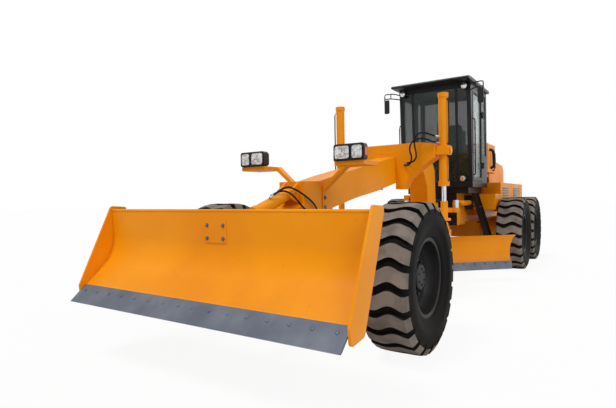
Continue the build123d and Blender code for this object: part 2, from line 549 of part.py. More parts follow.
finish(dozer_rod.part, "dozer_rod")

# Rear frame: the hitch ears, the box under the cab, two rails and the tandem's cross housing
RAIL_X = (250.0, 340.0)
RAIL_TOP = 1120.0
REAR_END = back(8170)
TOW_Y = REAR_END + 42.0
TOW_PIN_R = 26.0
TOW_LUG_Z = ((635.0, 665.0), (735.0, 765.0))
EAR_T = 50.0
EAR_GAP = 6.0
CAB_FLOOR_Z = 1545.0
PLATFORM_Z = (1440.0, CAB_FLOOR_Z - SEAT_GAP)
CAB_X = 650.0
CAB_Y = (back(4300), back(5460))
TANDEM_PIN_R = 120.0
ENGINE_Z = (1080.0, 1780.0)
with BuildPart() as rear_frame:
    ear_low = (HITCH_Z[0] - EAR_GAP - EAR_T, HITCH_Z[0] - EAR_GAP)
    ear_high = (HITCH_Z[1] + EAR_GAP, HITCH_Z[1] + EAR_GAP + EAR_T)
    for low, high in (ear_low, ear_high):
        bar((0, HITCH_Y, low), (0, HITCH_Y, high), 150)
        block((-150, 150), (HITCH_Y, back(4500)), (low, high))
        bar((0, HITCH_Y, low - 1), (0, HITCH_Y, high + 1), HITCH_PIN_R + PIN_GAP, mode=Mode.SUBTRACT)
    block((-150, 150), (back(4270), back(4500)), (ear_low[0], ear_high[1]))
    block((-340, 340), (back(4450), back(5000)), (860, 1400))
    block((-560, 560), (back(4400), back(5400)), PLATFORM_Z)
    block((-340, 340), (back(4450), back(5000)), (1390, 1445))
    for side in (1, -1):
        block((side * RAIL_X[0], side * RAIL_X[1]), (back(4990), REAR_END - 60), (900, RAIL_TOP))
        block((side * 320, side * (ART_X + 60)), (back(4940), back(5000)), (1180, 1400))
    block((-340, 340), (REAR_END - 70, REAR_END), (620, RAIL_TOP))
    for low, high in TOW_LUG_Z:
        block((-60, 60), (REAR_END, TOW_Y), (low, high))
        bar((0, TOW_Y, low), (0, TOW_Y, high), 60)
        bar((0, TOW_Y, low - 1), (0, TOW_Y, high + 1), TOW_PIN_R, mode=Mode.SUBTRACT)
    for y in (6060, 7200):
        block((-300, 300), (back(y), back(y + 80)), (940, ENGINE_Z[0] - SEAT_GAP))
    # tandem cross housing, hung under the rails
    block((-380, 380), (TANDEM_Y - 190, TANDEM_Y + 190), (520, 905))
    for side in (1, -1):
        bar((side * 370, TANDEM_Y, WHEEL_Z), (side * 600, TANDEM_Y, WHEEL_Z), 175)
        bar((side * 590, TANDEM_Y, WHEEL_Z), (side * 720, TANDEM_Y, WHEEL_Z), TANDEM_PIN_R)
finish(rear_frame.part, "rear_frame")

# Articulation cylinders: a barrel each side of the neck, pinned under the cab
ART_Z = 1262.0
ART_BARREL_R = 50.0
ART_ROD_R = 26.0
with BuildPart() as articulation_cylinders:
    for side in (1, -1):
        x = side * ART_X
        bar((x, back(4340), ART_Z), (x, back(4938), ART_Z), ART_BARREL_R)
        bar((x, back(4339), ART_Z), (x, back(4800), ART_Z), ART_ROD_R + SEAT_GAP, mode=Mode.SUBTRACT)
finish(articulation_cylinders.part, "articulation_cylinders")
for side_name, side in SIDES:
    with BuildPart() as articulation_rod:
        x = side * ART_X
        bar((x, HITCH_Y + 40, ART_Z), (x, back(4600), ART_Z), ART_ROD_R)
        bar((x, HITCH_Y, ART_ARM_Z[1] + SEAT_GAP), (x, HITCH_Y, ART_Z + 60), 58)
    finish(articulation_rod.part, f"articulation_rod_{side_name}")

# Tandem cases: a rocking chain case on each side, with a hub for each wheel
CASE_X = (640.0, 850.0)
CASE_END_R = 235.0
for side_name, side in SIDES:
    with BuildPart() as tandem:
        side_plate([(MIDDLE_AXLE_Y, WHEEL_Z - CASE_END_R), (REAR_AXLE_Y, WHEEL_Z - CASE_END_R),
                    (REAR_AXLE_Y, WHEEL_Z + CASE_END_R), (TANDEM_Y, WHEEL_Z + 290), (MIDDLE_AXLE_Y, WHEEL_Z + CASE_END_R)],
                   side * CASE_X[0], side * CASE_X[1])
        for axle_y in (MIDDLE_AXLE_Y, REAR_AXLE_Y):
            bar((side * CASE_X[0], axle_y, WHEEL_Z), (side * CASE_X[1], axle_y, WHEEL_Z), CASE_END_R)
            bar((side * CASE_X[1], axle_y, WHEEL_Z), (side * TANDEM_OUT_X, axle_y, WHEEL_Z), HUB_R + 20)
            bar((side * TANDEM_OUT_X, axle_y, WHEEL_Z), (side * SPINDLE_TIP_X, axle_y, WHEEL_Z), SPINDLE_R)
        bar((side * (CASE_X[0] - 1), TANDEM_Y, WHEEL_Z), (side * 721, TANDEM_Y, WHEEL_Z), TANDEM_PIN_R + PIN_GAP,
            mode=Mode.SUBTRACT)
    finish(tandem.part, f"tandem_{side_name}")

# Engine, hood, tank, intake and the boxes beside the engine
HOOD_HALF = 470.0
HOOD_Y = (back(6510), back(8150))
HOOD_WALL = 16.0
HOOD_BASE = 1128.0
with BuildPart() as engine:
    block((-240, 240), (back(6000), back(7500)), ENGINE_Z)
finish(engine.part, "engine")
with BuildPart() as hood:
    side_plate([(HOOD_Y[0], HOOD_BASE), (HOOD_Y[1], HOOD_BASE), (HOOD_Y[1], 1980), (HOOD_Y[1] - 160, 2110),
                (HOOD_Y[0], 2200)], -HOOD_HALF, HOOD_HALF)
    side_plate([(HOOD_Y[0] - 1, HOOD_BASE - 1), (HOOD_Y[1] - HOOD_WALL, HOOD_BASE - 1),
                (HOOD_Y[1] - HOOD_WALL, 1972), (HOOD_Y[1] - 168, 2094), (HOOD_Y[0] - 1, 2184)],
               -HOOD_HALF + HOOD_WALL, HOOD_HALF - HOOD_WALL, mode=Mode.SUBTRACT)
finish(hood.part, "hood")
with BuildPart() as hydraulic_tank:
    block((-600, 600), (back(5790), HOOD_Y[0] - SEAT_GAP), (1860, 2460))
    block((-460, 460), (back(5790), HOOD_Y[0] - SEAT_GAP), (ENGINE_Z[1] + SEAT_GAP, 1861))
finish(hydraulic_tank.part, "hydraulic_tank")
with BuildPart() as intake:
    bar((260, back(6700), 2330), (260, back(7300), 2330), 120)
    bar((260, back(6800), 2100), (260, back(6800), 2330), 50)
    bar((-200, back(7000), 2100), (-200, back(7000), 2900), 55)
    side_plate([(HOOD_Y[0], 2000), (HOOD_Y[1] - 160, 2000), (HOOD_Y[1] - 160, 2110 + SEAT_GAP),
                (HOOD_Y[0], 2200 + SEAT_GAP)], -HOOD_HALF, HOOD_HALF, mode=Mode.SUBTRACT)
finish(intake.part, "intake")
with BuildPart() as side_boxes:
    for side in (1, -1):
        side_plate([(back(5010), 1130), (back(8100), 1130), (back(8100), 1640), (back(5500), 1640), (back(5500), 1420),
                    (back(5010), 1420)], side * 500, side * 890)
    block((-501, 501), (back(5520), back(5900)), (1160, 1780))
    for side in (1, -1):
        block((side * (RAIL_X[1] + SEAT_GAP), side * 501), (back(5600), back(5700)), (1000, 1300))
        block((side * (RAIL_X[1] + SEAT_GAP), side * 501), (back(7700), back(7800)), (1000, 1120))
        block((side * 471, side * 501), (back(6510), back(8100)), (1130, 1300))
finish(side_boxes.part, "side_boxes")

# Cab: a frame of posts with its windows cut, a roof, glass and two side doors
CAB_WALL = 46.0
CAB_TOP_Z = 3370.0
CAB_SILL_Z = 1640.0
GLASS_T = 6.0
DOOR_Y = (back(4372), back(5060))
DOOR_Z = (1660.0, 3290.0)
POST = 60.0
HINGE_X = CAB_X + 22.0
HINGE_Y = DOOR_Y[1] + 20.0
HINGE_Z = (1900.0, 2850.0)
HINGE_H = 110.0
HINGE_LEAF = 16.0
HINGE_PIN_R = 7.0
with BuildPart() as cab_shell:
    cab_side = ((4340, CAB_FLOOR_Z), (5460, CAB_FLOOR_Z), (5460, CAB_TOP_Z), (4250, CAB_TOP_Z), (4300, 2300))
    side_plate(placed(cab_side), -CAB_X, CAB_X)
    inner = ((4390, CAB_FLOOR_Z + 30), (5414, CAB_FLOOR_Z + 30), (5414, CAB_TOP_Z + 1), (4300, CAB_TOP_Z + 1),
             (4350, 2300))
    side_plate(placed(inner), -CAB_X + CAB_WALL, CAB_X - CAB_WALL, mode=Mode.SUBTRACT)
    # door openings, rear side windows, windscreen and rear window
    block((-CAB_X - 1, CAB_X + 1), (DOOR_Y[0] - 8, DOOR_Y[1] + 8), (DOOR_Z[0] - 8, DOOR_Z[1] + 8), mode=Mode.SUBTRACT)
    block((-CAB_X - 1, CAB_X + 1), (back(5125), back(5390)), (2150, DOOR_Z[1]), mode=Mode.SUBTRACT)
    block((-CAB_X + 70, CAB_X - 70), (back(4200), back(4392)), (CAB_SILL_Z, DOOR_Z[1]), mode=Mode.SUBTRACT)
    block((-CAB_X + 80, CAB_X - 80), (back(5400), back(5470)), (2150, DOOR_Z[1]), mode=Mode.SUBTRACT)
    for side in (1, -1):
        for low in HINGE_Z:
            for z in (low, low + HINGE_H - HINGE_LEAF):
                block((side * CAB_X, side * (HINGE_X + 14)), (HINGE_Y - 10, HINGE_Y + 30), (z, z + HINGE_LEAF))
            bar((side * HINGE_X, HINGE_Y, low), (side * HINGE_X, HINGE_Y, low + HINGE_H), HINGE_PIN_R)
finish(cab_shell.part, "cab_shell")
with BuildPart() as cab_roof:
    side_plate(placed(((3932, 3385), (3960, CAB_TOP_Z + SEAT_GAP), (5500, CAB_TOP_Z + SEAT_GAP), (5530, 3390), (5500, 3430), (4100, 3436), (3950, 3415))),
               -696, 696)
finish(cab_roof.part, "cab_roof")
with BuildPart() as cab_glass:
    side_plate(placed(((4308, 2300), (4341, CAB_SILL_Z + SEAT_GAP), (4347, CAB_SILL_Z + SEAT_GAP), (4314, 2300),
                       (4264, DOOR_Z[1] - SEAT_GAP), (4258, DOOR_Z[1] - SEAT_GAP))), -CAB_X + 70 + SEAT_GAP,
               CAB_X - 70 - SEAT_GAP)
    block((-CAB_X + 80 + SEAT_GAP, CAB_X - 80 - SEAT_GAP), (back(5440), back(5446)),
          (2150 + SEAT_GAP, DOOR_Z[1] - SEAT_GAP))
    for side in (1, -1):
        block((side * (CAB_X - 20), side * (CAB_X - 26)), (back(5125) + SEAT_GAP, back(5390) - SEAT_GAP),
              (2150 + SEAT_GAP, DOOR_Z[1] - SEAT_GAP))
finish(cab_glass.part, "cab_glass")
for side_name, side in SIDES:
    with BuildPart() as door:
        block((side * (CAB_X - 40), side * (CAB_X + 4)), DOOR_Y, DOOR_Z)
        block((side * (CAB_X - 41), side * (CAB_X + 5)), (DOOR_Y[0] + POST, DOOR_Y[1] - POST),
              (DOOR_Z[0] + POST, DOOR_Z[1] - POST), mode=Mode.SUBTRACT)
        for low in HINGE_Z:
            knuckle_z = (low + HINGE_LEAF + SEAT_GAP, low + HINGE_H - HINGE_LEAF - SEAT_GAP)
            bar((side * HINGE_X, HINGE_Y, knuckle_z[0]), (side * HINGE_X, HINGE_Y, knuckle_z[1]), 15)
            block((side * (CAB_X + 2), side * HINGE_X), (DOOR_Y[1] - 40, HINGE_Y), knuckle_z)
            bar((side * HINGE_X, HINGE_Y, low), (side * HINGE_X, HINGE_Y, low + HINGE_H), HINGE_PIN_R + PIN_GAP,
                mode=Mode.SUBTRACT)
    finish(door.part, f"door_{side_name}")
    with BuildPart() as door_glass:
        block((side * (CAB_X - 20), side * (CAB_X - 26)), (DOOR_Y[0] + POST + SEAT_GAP, DOOR_Y[1] - POST - SEAT_GAP),
              (DOOR_Z[0] + POST + SEAT_GAP, DOOR_Z[1] - POST - SEAT_GAP))
    finish(door_glass.part, f"door_glass_{side_name}")
with BuildPart() as seat:
    block((-160, 160), (back(4900), back(5200)), (CAB_FLOOR_Z + 30 + SEAT_GAP, 2010))
    block((-250, 250), (back(4800), back(5300)), (2010, 2130))
    block((-240, 240), (back(5200), back(5320)), (2120, 2800))
finish(seat.part, "seat")
with BuildPart() as console:
    block((-180, 180), (back(4480), back(4640)), (CAB_FLOOR_Z + 30 + SEAT_GAP, 2300))
    bar((0, back(4620), 2330), (0, back(4600), 2350), 190)
finish(console.part, "console")
with BuildPart() as cab_fittings:
    for side in (1, -1):
        block((side * 500, side * 640), (back(4130), back(4300)), (3250, 3369))
        block((side * 440, side * 560), (back(4215), back(4345)), (1640, 1760))
        block((side * 690, side * 900), (back(4100), back(4130)), (2950, 3350))
        bar((side * 630, back(4200), 3310), (side * 700, back(4115), 3310), 12)
    front_of_cab = ((4340, CAB_FLOOR_Z), (4300, 2300), (4250, CAB_TOP_Z), (4700, CAB_TOP_Z), (4700, CAB_FLOOR_Z))
    side_plate(placed([(y - SEAT_GAP, z) for y, z in front_of_cab]), -CAB_X, CAB_X, mode=Mode.SUBTRACT)
finish(cab_fittings.part, "cab_fittings")
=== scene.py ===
import bpy, bmesh, json, math
import numpy as np
from mathutils import Matrix, Vector


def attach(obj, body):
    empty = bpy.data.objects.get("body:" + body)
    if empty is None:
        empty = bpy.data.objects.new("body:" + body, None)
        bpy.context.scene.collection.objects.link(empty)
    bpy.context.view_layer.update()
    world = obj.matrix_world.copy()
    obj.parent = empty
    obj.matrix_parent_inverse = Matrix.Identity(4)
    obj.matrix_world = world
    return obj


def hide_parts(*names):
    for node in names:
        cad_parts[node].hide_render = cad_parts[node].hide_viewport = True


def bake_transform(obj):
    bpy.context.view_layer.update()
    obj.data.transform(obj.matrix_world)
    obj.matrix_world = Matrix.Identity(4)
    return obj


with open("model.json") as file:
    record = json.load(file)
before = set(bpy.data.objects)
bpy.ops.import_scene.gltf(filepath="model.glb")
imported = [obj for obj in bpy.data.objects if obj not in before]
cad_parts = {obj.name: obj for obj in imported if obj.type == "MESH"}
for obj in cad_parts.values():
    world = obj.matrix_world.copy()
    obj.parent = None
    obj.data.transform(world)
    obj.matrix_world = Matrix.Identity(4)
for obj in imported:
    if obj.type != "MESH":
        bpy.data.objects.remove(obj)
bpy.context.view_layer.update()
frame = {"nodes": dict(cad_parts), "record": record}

# Camera, floor and light. The camera stands where the photograph was taken, low beside the front
# blade and looking up the machine's left side. The floor is a plain pale sheet, and the sky is white.
CAMERA_AT = (2.654, -7.238, 1.399)
CAMERA_YAW, CAMERA_PITCH, CAMERA_ROLL = (math.radians(a) for a in (33.36, 0.76, -0.90))
SENSOR_MM, LENS_MM = 36.0, 26.78
SEES_TO = 200.0
ahead = Vector((-math.sin(CAMERA_YAW) * math.cos(CAMERA_PITCH), math.cos(CAMERA_YAW) * math.cos(CAMERA_PITCH),
                -math.sin(CAMERA_PITCH)))
aside = Vector((math.cos(CAMERA_YAW), math.sin(CAMERA_YAW), 0))
above = aside.cross(ahead)
right_hand = math.cos(CAMERA_ROLL) * aside + math.sin(CAMERA_ROLL) * above
upright = -math.sin(CAMERA_ROLL) * aside + math.cos(CAMERA_ROLL) * above
camera_data = bpy.data.cameras.new("camera")
camera_data.sensor_fit = "HORIZONTAL"
camera_data.sensor_width = SENSOR_MM
camera_data.lens = LENS_MM
camera_data.clip_end = SEES_TO
camera = bpy.data.objects.new("camera", camera_data)
bpy.context.scene.collection.objects.link(camera)
camera.matrix_world = Matrix.Translation(CAMERA_AT) @ Matrix((right_hand, upright,
                                                              -ahead)).transposed().to_4x4()
bpy.context.scene.camera = camera
bpy.context.scene.view_settings.view_transform = "Standard"

SKY_FOR_LIGHT = 0.22
SKY_SEEN = 1.0
WHITE = (1, 1, 1, 1)


def shader_node(nodes, kind, inputs={}, **settings):
    """A new node of one kind: its settings first, then the default values of its inputs."""
    node = nodes.new("ShaderNode" + kind)
    for setting, value in settings.items():
        setattr(node, setting, value)
    for socket, value in inputs.items():
        node.inputs[socket].default_value = value
    return node


def wired(tree, *pairs):
    """Joins each output to the input beside it."""
    for from_output, to_input in pairs:
        tree.links.new(from_output, to_input)


world = bpy.data.worlds.new("sky")
bpy.context.scene.world = world
world.use_nodes = True
sky = world.node_tree
sky.nodes.clear()
rays = shader_node(sky.nodes, "LightPath")
seen = shader_node(sky.nodes, "Math", operation="MAXIMUM")
seen_or_through = shader_node(sky.nodes, "Math", operation="MAXIMUM")
strength = shader_node(sky.nodes, "MapRange", {"To Min": SKY_FOR_LIGHT, "To Max": SKY_SEEN})
backdrop = shader_node(sky.nodes, "Background", {"Color": WHITE})
sky_out = shader_node(sky.nodes, "OutputWorld")
wired(sky, (rays.outputs["Is Camera Ray"], seen.inputs[0]),
      (rays.outputs["Is Glossy Ray"], seen.inputs[1]),
      (seen.outputs[0], seen_or_through.inputs[0]),
      (rays.outputs["Is Transmission Ray"], seen_or_through.inputs[1]),
      (seen_or_through.outputs[0], strength.inputs["Value"]),
      (strength.outputs["Result"], backdrop.inputs["Strength"]),
      (backdrop.outputs[0], sky_out.inputs["Surface"]))

LAMPS = (  # name, where its light comes from, strength, angle of its disc
    ("key_light", (-1.6, -3.6, 8.0), 1.85, 18.0),
    ("side_light", (7.0, -2.6, 4.0), 1.15, 40.0),
    ("back_light", (2.0, 8.0, 6.0), 0.45, 50.0),
)
for lamp_name, comes_from, lamp_strength, disc in LAMPS:
    lamp = bpy.data.lights.new(lamp_name, "SUN")
    lamp.energy = lamp_strength
    lamp.angle = math.radians(disc)
    lamp_object = bpy.data.objects.new(lamp_name, lamp)
    lamp_object.rotation_euler = Vector(comes_from).to_track_quat("Z", "Y").to_euler()
    bpy.context.scene.collection.objects.link(lamp_object)

FLOOR_HALF = 90.0
FLOOR_GLOW = 0.92  # share of its own light in the floor that the camera sees
FLOOR_CHALK = (0.86, 0.86, 0.86, 1)
floor_mesh = bpy.data.meshes.new("floor")
floor_mesh.from_pydata([(-FLOOR_HALF, -FLOOR_HALF, 0), (FLOOR_HALF, -FLOOR_HALF, 0),
                        (FLOOR_HALF, FLOOR_HALF, 0), (-FLOOR_HALF, FLOOR_HALF, 0)], [], [(0, 1, 2, 3)])
floor = bpy.data.objects.new("floor", floor_mesh)
bpy.context.scene.collection.objects.link(floor)
floor_look = bpy.data.materials.new("pale_floor")
floor_look.use_nodes = True
tree = floor_look.node_tree
tree.nodes.clear()
path = shader_node(tree.nodes, "LightPath")
glow_share = shader_node(tree.nodes, "Math", {1: FLOOR_GLOW}, operation="MULTIPLY")
chalk = shader_node(tree.nodes, "BsdfDiffuse", {"Color": FLOOR_CHALK})
glow = shader_node(tree.nodes, "Emission", {"Color": WHITE})
blend = shader_node(tree.nodes, "MixShader")
floor_out = shader_node(tree.nodes, "OutputMaterial")
wired(tree, (path.outputs["Is Camera Ray"], glow_share.inputs[0]),
      (glow_share.outputs[0], blend.inputs["Fac"]),
      (chalk.outputs[0], blend.inputs[1]),
      (glow.outputs[0], blend.inputs[2]),
      (blend.outputs[0], floor_out.inputs["Surface"]))
floor_mesh.materials.append(floor_look)


# Painted frames and panels. The machine is sprayed golden orange over welded plate, with black on
# its cab and rims; the paint is a little uneven, fades in clouds and carries dust low down.
DUST_COLOUR = (0.30, 0.25, 0.19, 1)
DUST_FULL_BELOW = 0.15
BARE_COLOUR = (0.10, 0.085, 0.07, 1)
GRAIN_DEPTH = 0.004


def worked_surface(name, colour, shade, rough, clouds=1.4, grain=60.0, bump=0.15, metal=0.0, dust=0.0,
                   dust_top=1.1, chips=0.0, shine=0.5):
    """Colour drifts between two tones by a soft noise, dust gathers below a height, chips show where a fine
    noise passes a threshold, roughness follows the noise, and a fine grain gives the bump."""
    look = bpy.data.materials.new(name)
    look.use_nodes = True
    t = look.node_tree
    shader = t.nodes["Principled BSDF"]
    place = shader_node(t.nodes, "TexCoord").outputs["Object"]
    soft = shader_node(t.nodes, "TexNoise", {"Scale": clouds, "Detail": 5.0})
    fine = shader_node(t.nodes, "TexNoise", {"Scale": grain, "Detail": 6.0})
    share = shader_node(t.nodes, "MapRange", {"From Min": 0.38, "From Max": 0.68})
    tone = shader_node(t.nodes, "Mix", {"A": (*colour, 1), "B": (*shade, 1)}, data_type="RGBA")
    wired(t, (place, soft.inputs["Vector"]), (place, fine.inputs["Vector"]),
          (soft.outputs["Fac"], share.inputs["Value"]), (share.outputs["Result"], tone.inputs["Factor"]))
    last = tone.outputs["Result"]
    if dust > 0:
        apart = shader_node(t.nodes, "SeparateXYZ")
        low = shader_node(t.nodes, "MapRange",
                          {"From Min": dust_top, "From Max": DUST_FULL_BELOW, "To Max": dust})
        patch = shader_node(t.nodes, "TexNoise", {"Scale": 9.0, "Detail": 8.0})
        lay = shader_node(t.nodes, "Math", operation="MULTIPLY")
        dusted = shader_node(t.nodes, "Mix", {"B": DUST_COLOUR}, data_type="RGBA")
        wired(t, (place, apart.inputs[0]), (apart.outputs["Z"], low.inputs["Value"]),
              (place, patch.inputs["Vector"]), (low.outputs["Result"], lay.inputs[0]),
              (patch.outputs["Fac"], lay.inputs[1]), (lay.outputs[0], dusted.inputs["Factor"]),
              (last, dusted.inputs["A"]))
        last = dusted.outputs["Result"]
    if chips > 0:
        speck = shader_node(t.nodes, "TexNoise", {"Scale": 26.0, "Detail": 9.0})
        bare = shader_node(t.nodes, "MapRange", {"From Min": 0.70, "From Max": 0.73, "To Max": chips})
        chipped = shader_node(t.nodes, "Mix", {"B": BARE_COLOUR}, data_type="RGBA")
        wired(t, (place, speck.inputs["Vector"]), (speck.outputs["Fac"], bare.inputs["Value"]),
              (bare.outputs["Result"], chipped.inputs["Factor"]), (last, chipped.inputs["A"]))
        last = chipped.outputs["Result"]
    gloss = shader_node(t.nodes, "MapRange",
                        {"To Min": max(0.02, rough - 0.09), "To Max": min(1.0, rough + 0.11)})
    dent = shader_node(t.nodes, "Bump", {"Strength": bump, "Distance": GRAIN_DEPTH})
    wired(t, (last, shader.inputs["Base Color"]), (soft.outputs["Fac"], gloss.inputs["Value"]),
          (gloss.outputs["Result"], shader.inputs["Roughness"]), (fine.outputs["Fac"], dent.inputs["Height"]),
          (dent.outputs["Normal"], shader.inputs["Normal"]))
    shader.inputs["Metallic"].default_value = metal
    shader.inputs["Specular IOR Level"].default_value = shine
    return look


body_paint = worked_surface("orange_paint", (0.86, 0.300, 0.002), (0.78, 0.250, 0.002), 0.40, bump=0.04,
                            dust=0.05, chips=0.25, shine=0.16)
black_paint = worked_surface("black_frame_paint", (0.007, 0.007, 0.008), (0.012, 0.012, 0.012), 0.36, bump=0.05,
                             dust=0.05, shine=0.22)
rim_paint = worked_surface("rim_paint", (0.006, 0.006, 0.007), (0.011, 0.010, 0.010), 0.42, bump=0.08,
                           dust=0.06, dust_top=0.9, shine=0.2)
# Steel of the wearing edge and the bolts: partly the steel's own dark grey, partly a painted reflection of the
# sky, lifted and tinted blue.
edge_steel = worked_surface("edge_steel_painted_sky_reflection", (0.085, 0.100, 0.135), (0.135, 0.150, 0.185), 0.40, clouds=5.0,
                            grain=140.0, bump=0.18, metal=0.2, dust=0.05, dust_top=0.8, shine=0.35)
cast_iron = worked_surface("rough_casting", (0.05, 0.048, 0.045), (0.09, 0.085, 0.08), 0.6, clouds=4.0,
                           grain=220.0, bump=0.4, metal=0.4)
chrome = worked_surface("polished_rod", (0.72, 0.73, 0.74), (0.60, 0.61, 0.62), 0.16, clouds=8.0, grain=400.0,
                        bump=0.02, metal=1.0)
moulded_plastic = worked_surface("moulded_plastic", (0.008, 0.008, 0.009), (0.014, 0.014, 0.015), 0.42,
                                 grain=500.0, bump=0.1, shine=0.25)
roof_paint = worked_surface("roof_paint", (0.008, 0.008, 0.009), (0.014, 0.014, 0.015), 0.4, bump=0.04,
                            shine=0.25)
seat_cloth = worked_surface("seat_cloth", (0.020, 0.021, 0.024), (0.032, 0.033, 0.037), 0.85, grain=900.0,
                            bump=0.5)
tyre_rubber = worked_surface("tyre_rubber", (0.0035, 0.0035, 0.0038), (0.006, 0.0055, 0.005), 0.62, clouds=5.0,
                             grain=180.0, bump=0.15, dust=0.03, dust_top=1.4, shine=0.05)
slot_looks = {"body_orange": body_paint, "frame_black": black_paint, "rim_black": rim_paint,
              "tyre_rubber": tyre_rubber, "edge_steel": edge_steel, "chrome_rod": chrome,
              "cast_iron": cast_iron, "black_plastic": moulded_plastic, "seat_fabric": seat_cloth,
              "roof_pale": roof_paint}


# Window glass: thin safety glass, pale at the sides and back and dark green in the windscreen, with a
# film of dust.
def flat_glass(name, colour, alpha, haze_scale):
    """Safety glass of one tint, more or less open to the eye, with a thin film of dust in soft clouds."""
    look = bpy.data.materials.new(name)
    look.use_nodes = True
    t = look.node_tree
    shader = t.nodes["Principled BSDF"]
    place = shader_node(t.nodes, "TexCoord")
    film = shader_node(t.nodes, "TexNoise", {"Scale": haze_scale, "Detail": 6.0})
    gloss = shader_node(t.nodes, "MapRange", {"To Min": 0.02, "To Max": 0.14})
    tone = shader_node(t.nodes, "Mix", {"A": (*colour, 1), "B": (*(0.8 * c for c in colour), 1)},
                       data_type="RGBA")
    wired(t, (place.outputs["Object"], film.inputs["Vector"]), (film.outputs["Fac"], gloss.inputs["Value"]),
          (film.outputs["Fac"], tone.inputs["Factor"]), (gloss.outputs["Result"], shader.inputs["Roughness"]),
          (tone.outputs["Result"], shader.inputs["Base Color"]))
    shader.inputs["Alpha"].default_value = alpha
    return look


side_glass = flat_glass("side_glass", (0.50, 0.58, 0.58), 0.34, 1.4)
slot_looks["cab_glass"] = side_glass

for part in frame["record"]["subparts"]:
    solid = frame["nodes"][part["node"]]
    solid.data.materials.clear()
    solid.data.materials.append(slot_looks[part["material_slot"]])


# Hoses: black rubber hydraulic hoses with silver crimped ends, two from the front cylinder over the
# head to a bracket on its left side, two from the left lift cylinder's ports down to the beam.
FRONT_AXLE = -3.266
SIDES = (("left", 1), ("right", -1))


def back(distance):
    """Row Y of a point so far behind the front axle."""
    return FRONT_AXLE + distance


def grid_faces(rows, columns, ring_rows=False, ring_columns=False):
    """Quads between neighbours of points in rows; a ring joins its last row or column to its first."""
    r, c = np.meshgrid(np.arange(rows if ring_rows else rows - 1),
                       np.arange(columns if ring_columns else columns - 1), indexing="ij")
    r2, c2 = (r + 1) % rows, (c + 1) % columns
    return np.stack([r * columns + c, r * columns + c2, r2 * columns + c2, r2 * columns + c], -1).reshape(-1, 4)


def made_piece(name, shells, looks, body, sharp=32.0, look_of_face=None, bevel=0.0):
    """One mesh from (points, faces) shells joined end to end, its faces turned outwards, riding on a body."""
    points, faces, start = [], [], 0
    for shell_points, shell_faces in shells:
        shell_points = np.asarray(shell_points, float).reshape(-1, 3)
        points.append(shell_points)
        faces += [[i + start for i in face] for face in np.asarray(shell_faces, object).tolist()]
        start += len(shell_points)
    mesh = bpy.data.meshes.new(name)
    mesh.from_pydata(np.concatenate(points).tolist(), [], faces)
    for look in looks if isinstance(looks, (list, tuple)) else [looks]:
        mesh.materials.append(look)
    if look_of_face is not None:
        mesh.polygons.foreach_set("material_index", np.asarray(look_of_face, np.int32))
    return finished(name, mesh, body, sharp, bevel)


def finished(name, mesh, body, sharp=32.0, bevel=0.0, joined_flats=False):
    """Merges a mesh's doubles, turns its faces outwards, shades it smooth up to an angle, rounds its edges."""
    work = bmesh.new()
    work.from_mesh(mesh)
    bmesh.ops.remove_doubles(work, verts=work.verts, dist=1e-6)
    if joined_flats:
        bmesh.ops.dissolve_limit(work, angle_limit=math.radians(0.6), verts=work.verts, edges=work.edges)
    loose = [edge for edge in work.edges if not edge.link_faces]
    bmesh.ops.delete(work, geom=loose, context="EDGES")
    bmesh.ops.recalc_face_normals(work, faces=work.faces)
    work.to_mesh(mesh)
    work.free()
    mesh.shade_smooth()
    mesh.set_sharp_from_angle(angle=math.radians(sharp))
    piece = bpy.data.objects.new(name, mesh)
    bpy.context.scene.collection.objects.link(piece)
    if bevel > 0:
        rounded = piece.modifiers.new("edges", "BEVEL")
        rounded.width = bevel
        rounded.segments = 2
        rounded.limit_method = "ANGLE"
        rounded.angle_limit = math.radians(sharp)
        rounded.harden_normals = True
    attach(piece, body)
    return piece


def turned(profile, sides=64):
    """A closed profile of (x, radius) swung round the X axis: y is radius by sine, z is radius by cosine."""
    angle = np.linspace(0, 2 * np.pi, sides, endpoint=False)[:, None]
    x, r = np.asarray(profile, float).T
    points = np.stack([np.broadcast_to(x, (sides, len(x))), r * np.sin(angle), r * np.cos(angle)], -1)
    return points.reshape(-1, 3), grid_faces(sides, len(x), True, True).tolist()


def aimed(shell, at, direction=(1, 0, 0)):
    """A shell turned from the X axis to a direction and carried to a place."""
    points, faces = shell
    turn = np.array(Vector((1, 0, 0)).rotation_difference(Vector(direction).normalized()).to_matrix())
    return points @ turn.T + np.array(at, float), faces


def run_along(axis, outline, start, stop):
    """An outline run straight along an axis: its two columns are the other two axes in their own order."""
    flat = np.asarray(outline, float)
    count = len(flat)
    rows = []
    for level in (start, stop):
        rows.append(np.insert(flat, "xyz".index(axis), level, axis=1))
    caps = [list(range(count)), list(range(2 * count - 1, count - 1, -1))]
    return np.concatenate(rows), grid_faces(2, count, False, True).tolist() + caps


def rectangle(low, high):
    """The four corners of a flat rectangle from its lowest and its highest corner."""
    return [(low[0], low[1]), (high[0], low[1]), (high[0], high[1]), (low[0], high[1])]


def route_on(side, points):
    """Route points given as X, distance behind the front axle and Z, on the left (1) or the right (-1)."""
    return [(side * x, back(y), z) for x, y, z in points]


def soft_corners(corners, radius, steps=5):
    """The points of a flat outline with an arc of one radius, or of one given per corner, at each corner."""
    corners = [Vector(corner) for corner in corners]
    radii = radius if isinstance(radius, (list, tuple)) else [radius] * len(corners)
    points = []
    for number, corner in enumerate(corners):
        to_last = (corners[number - 1] - corner).normalized()
        to_next = (corners[(number + 1) % len(corners)] - corner).normalized()
        half = to_last.angle(to_next) / 2
        reach = radii[number] / math.tan(half)
        if radii[number] <= 0 or half > math.radians(89):
            points.append(tuple(corner))
            continue
        middle = corner + (to_last + to_next).normalized() * radii[number] / math.sin(half)
        first, last = corner + to_last * reach - middle, corner + to_next * reach - middle
        swing = first.angle_signed(last)
        for step in range(steps + 1):
            turn = -swing * step / steps
            points.append(tuple(middle + Matrix.Rotation(turn, 2) @ first))
    return points


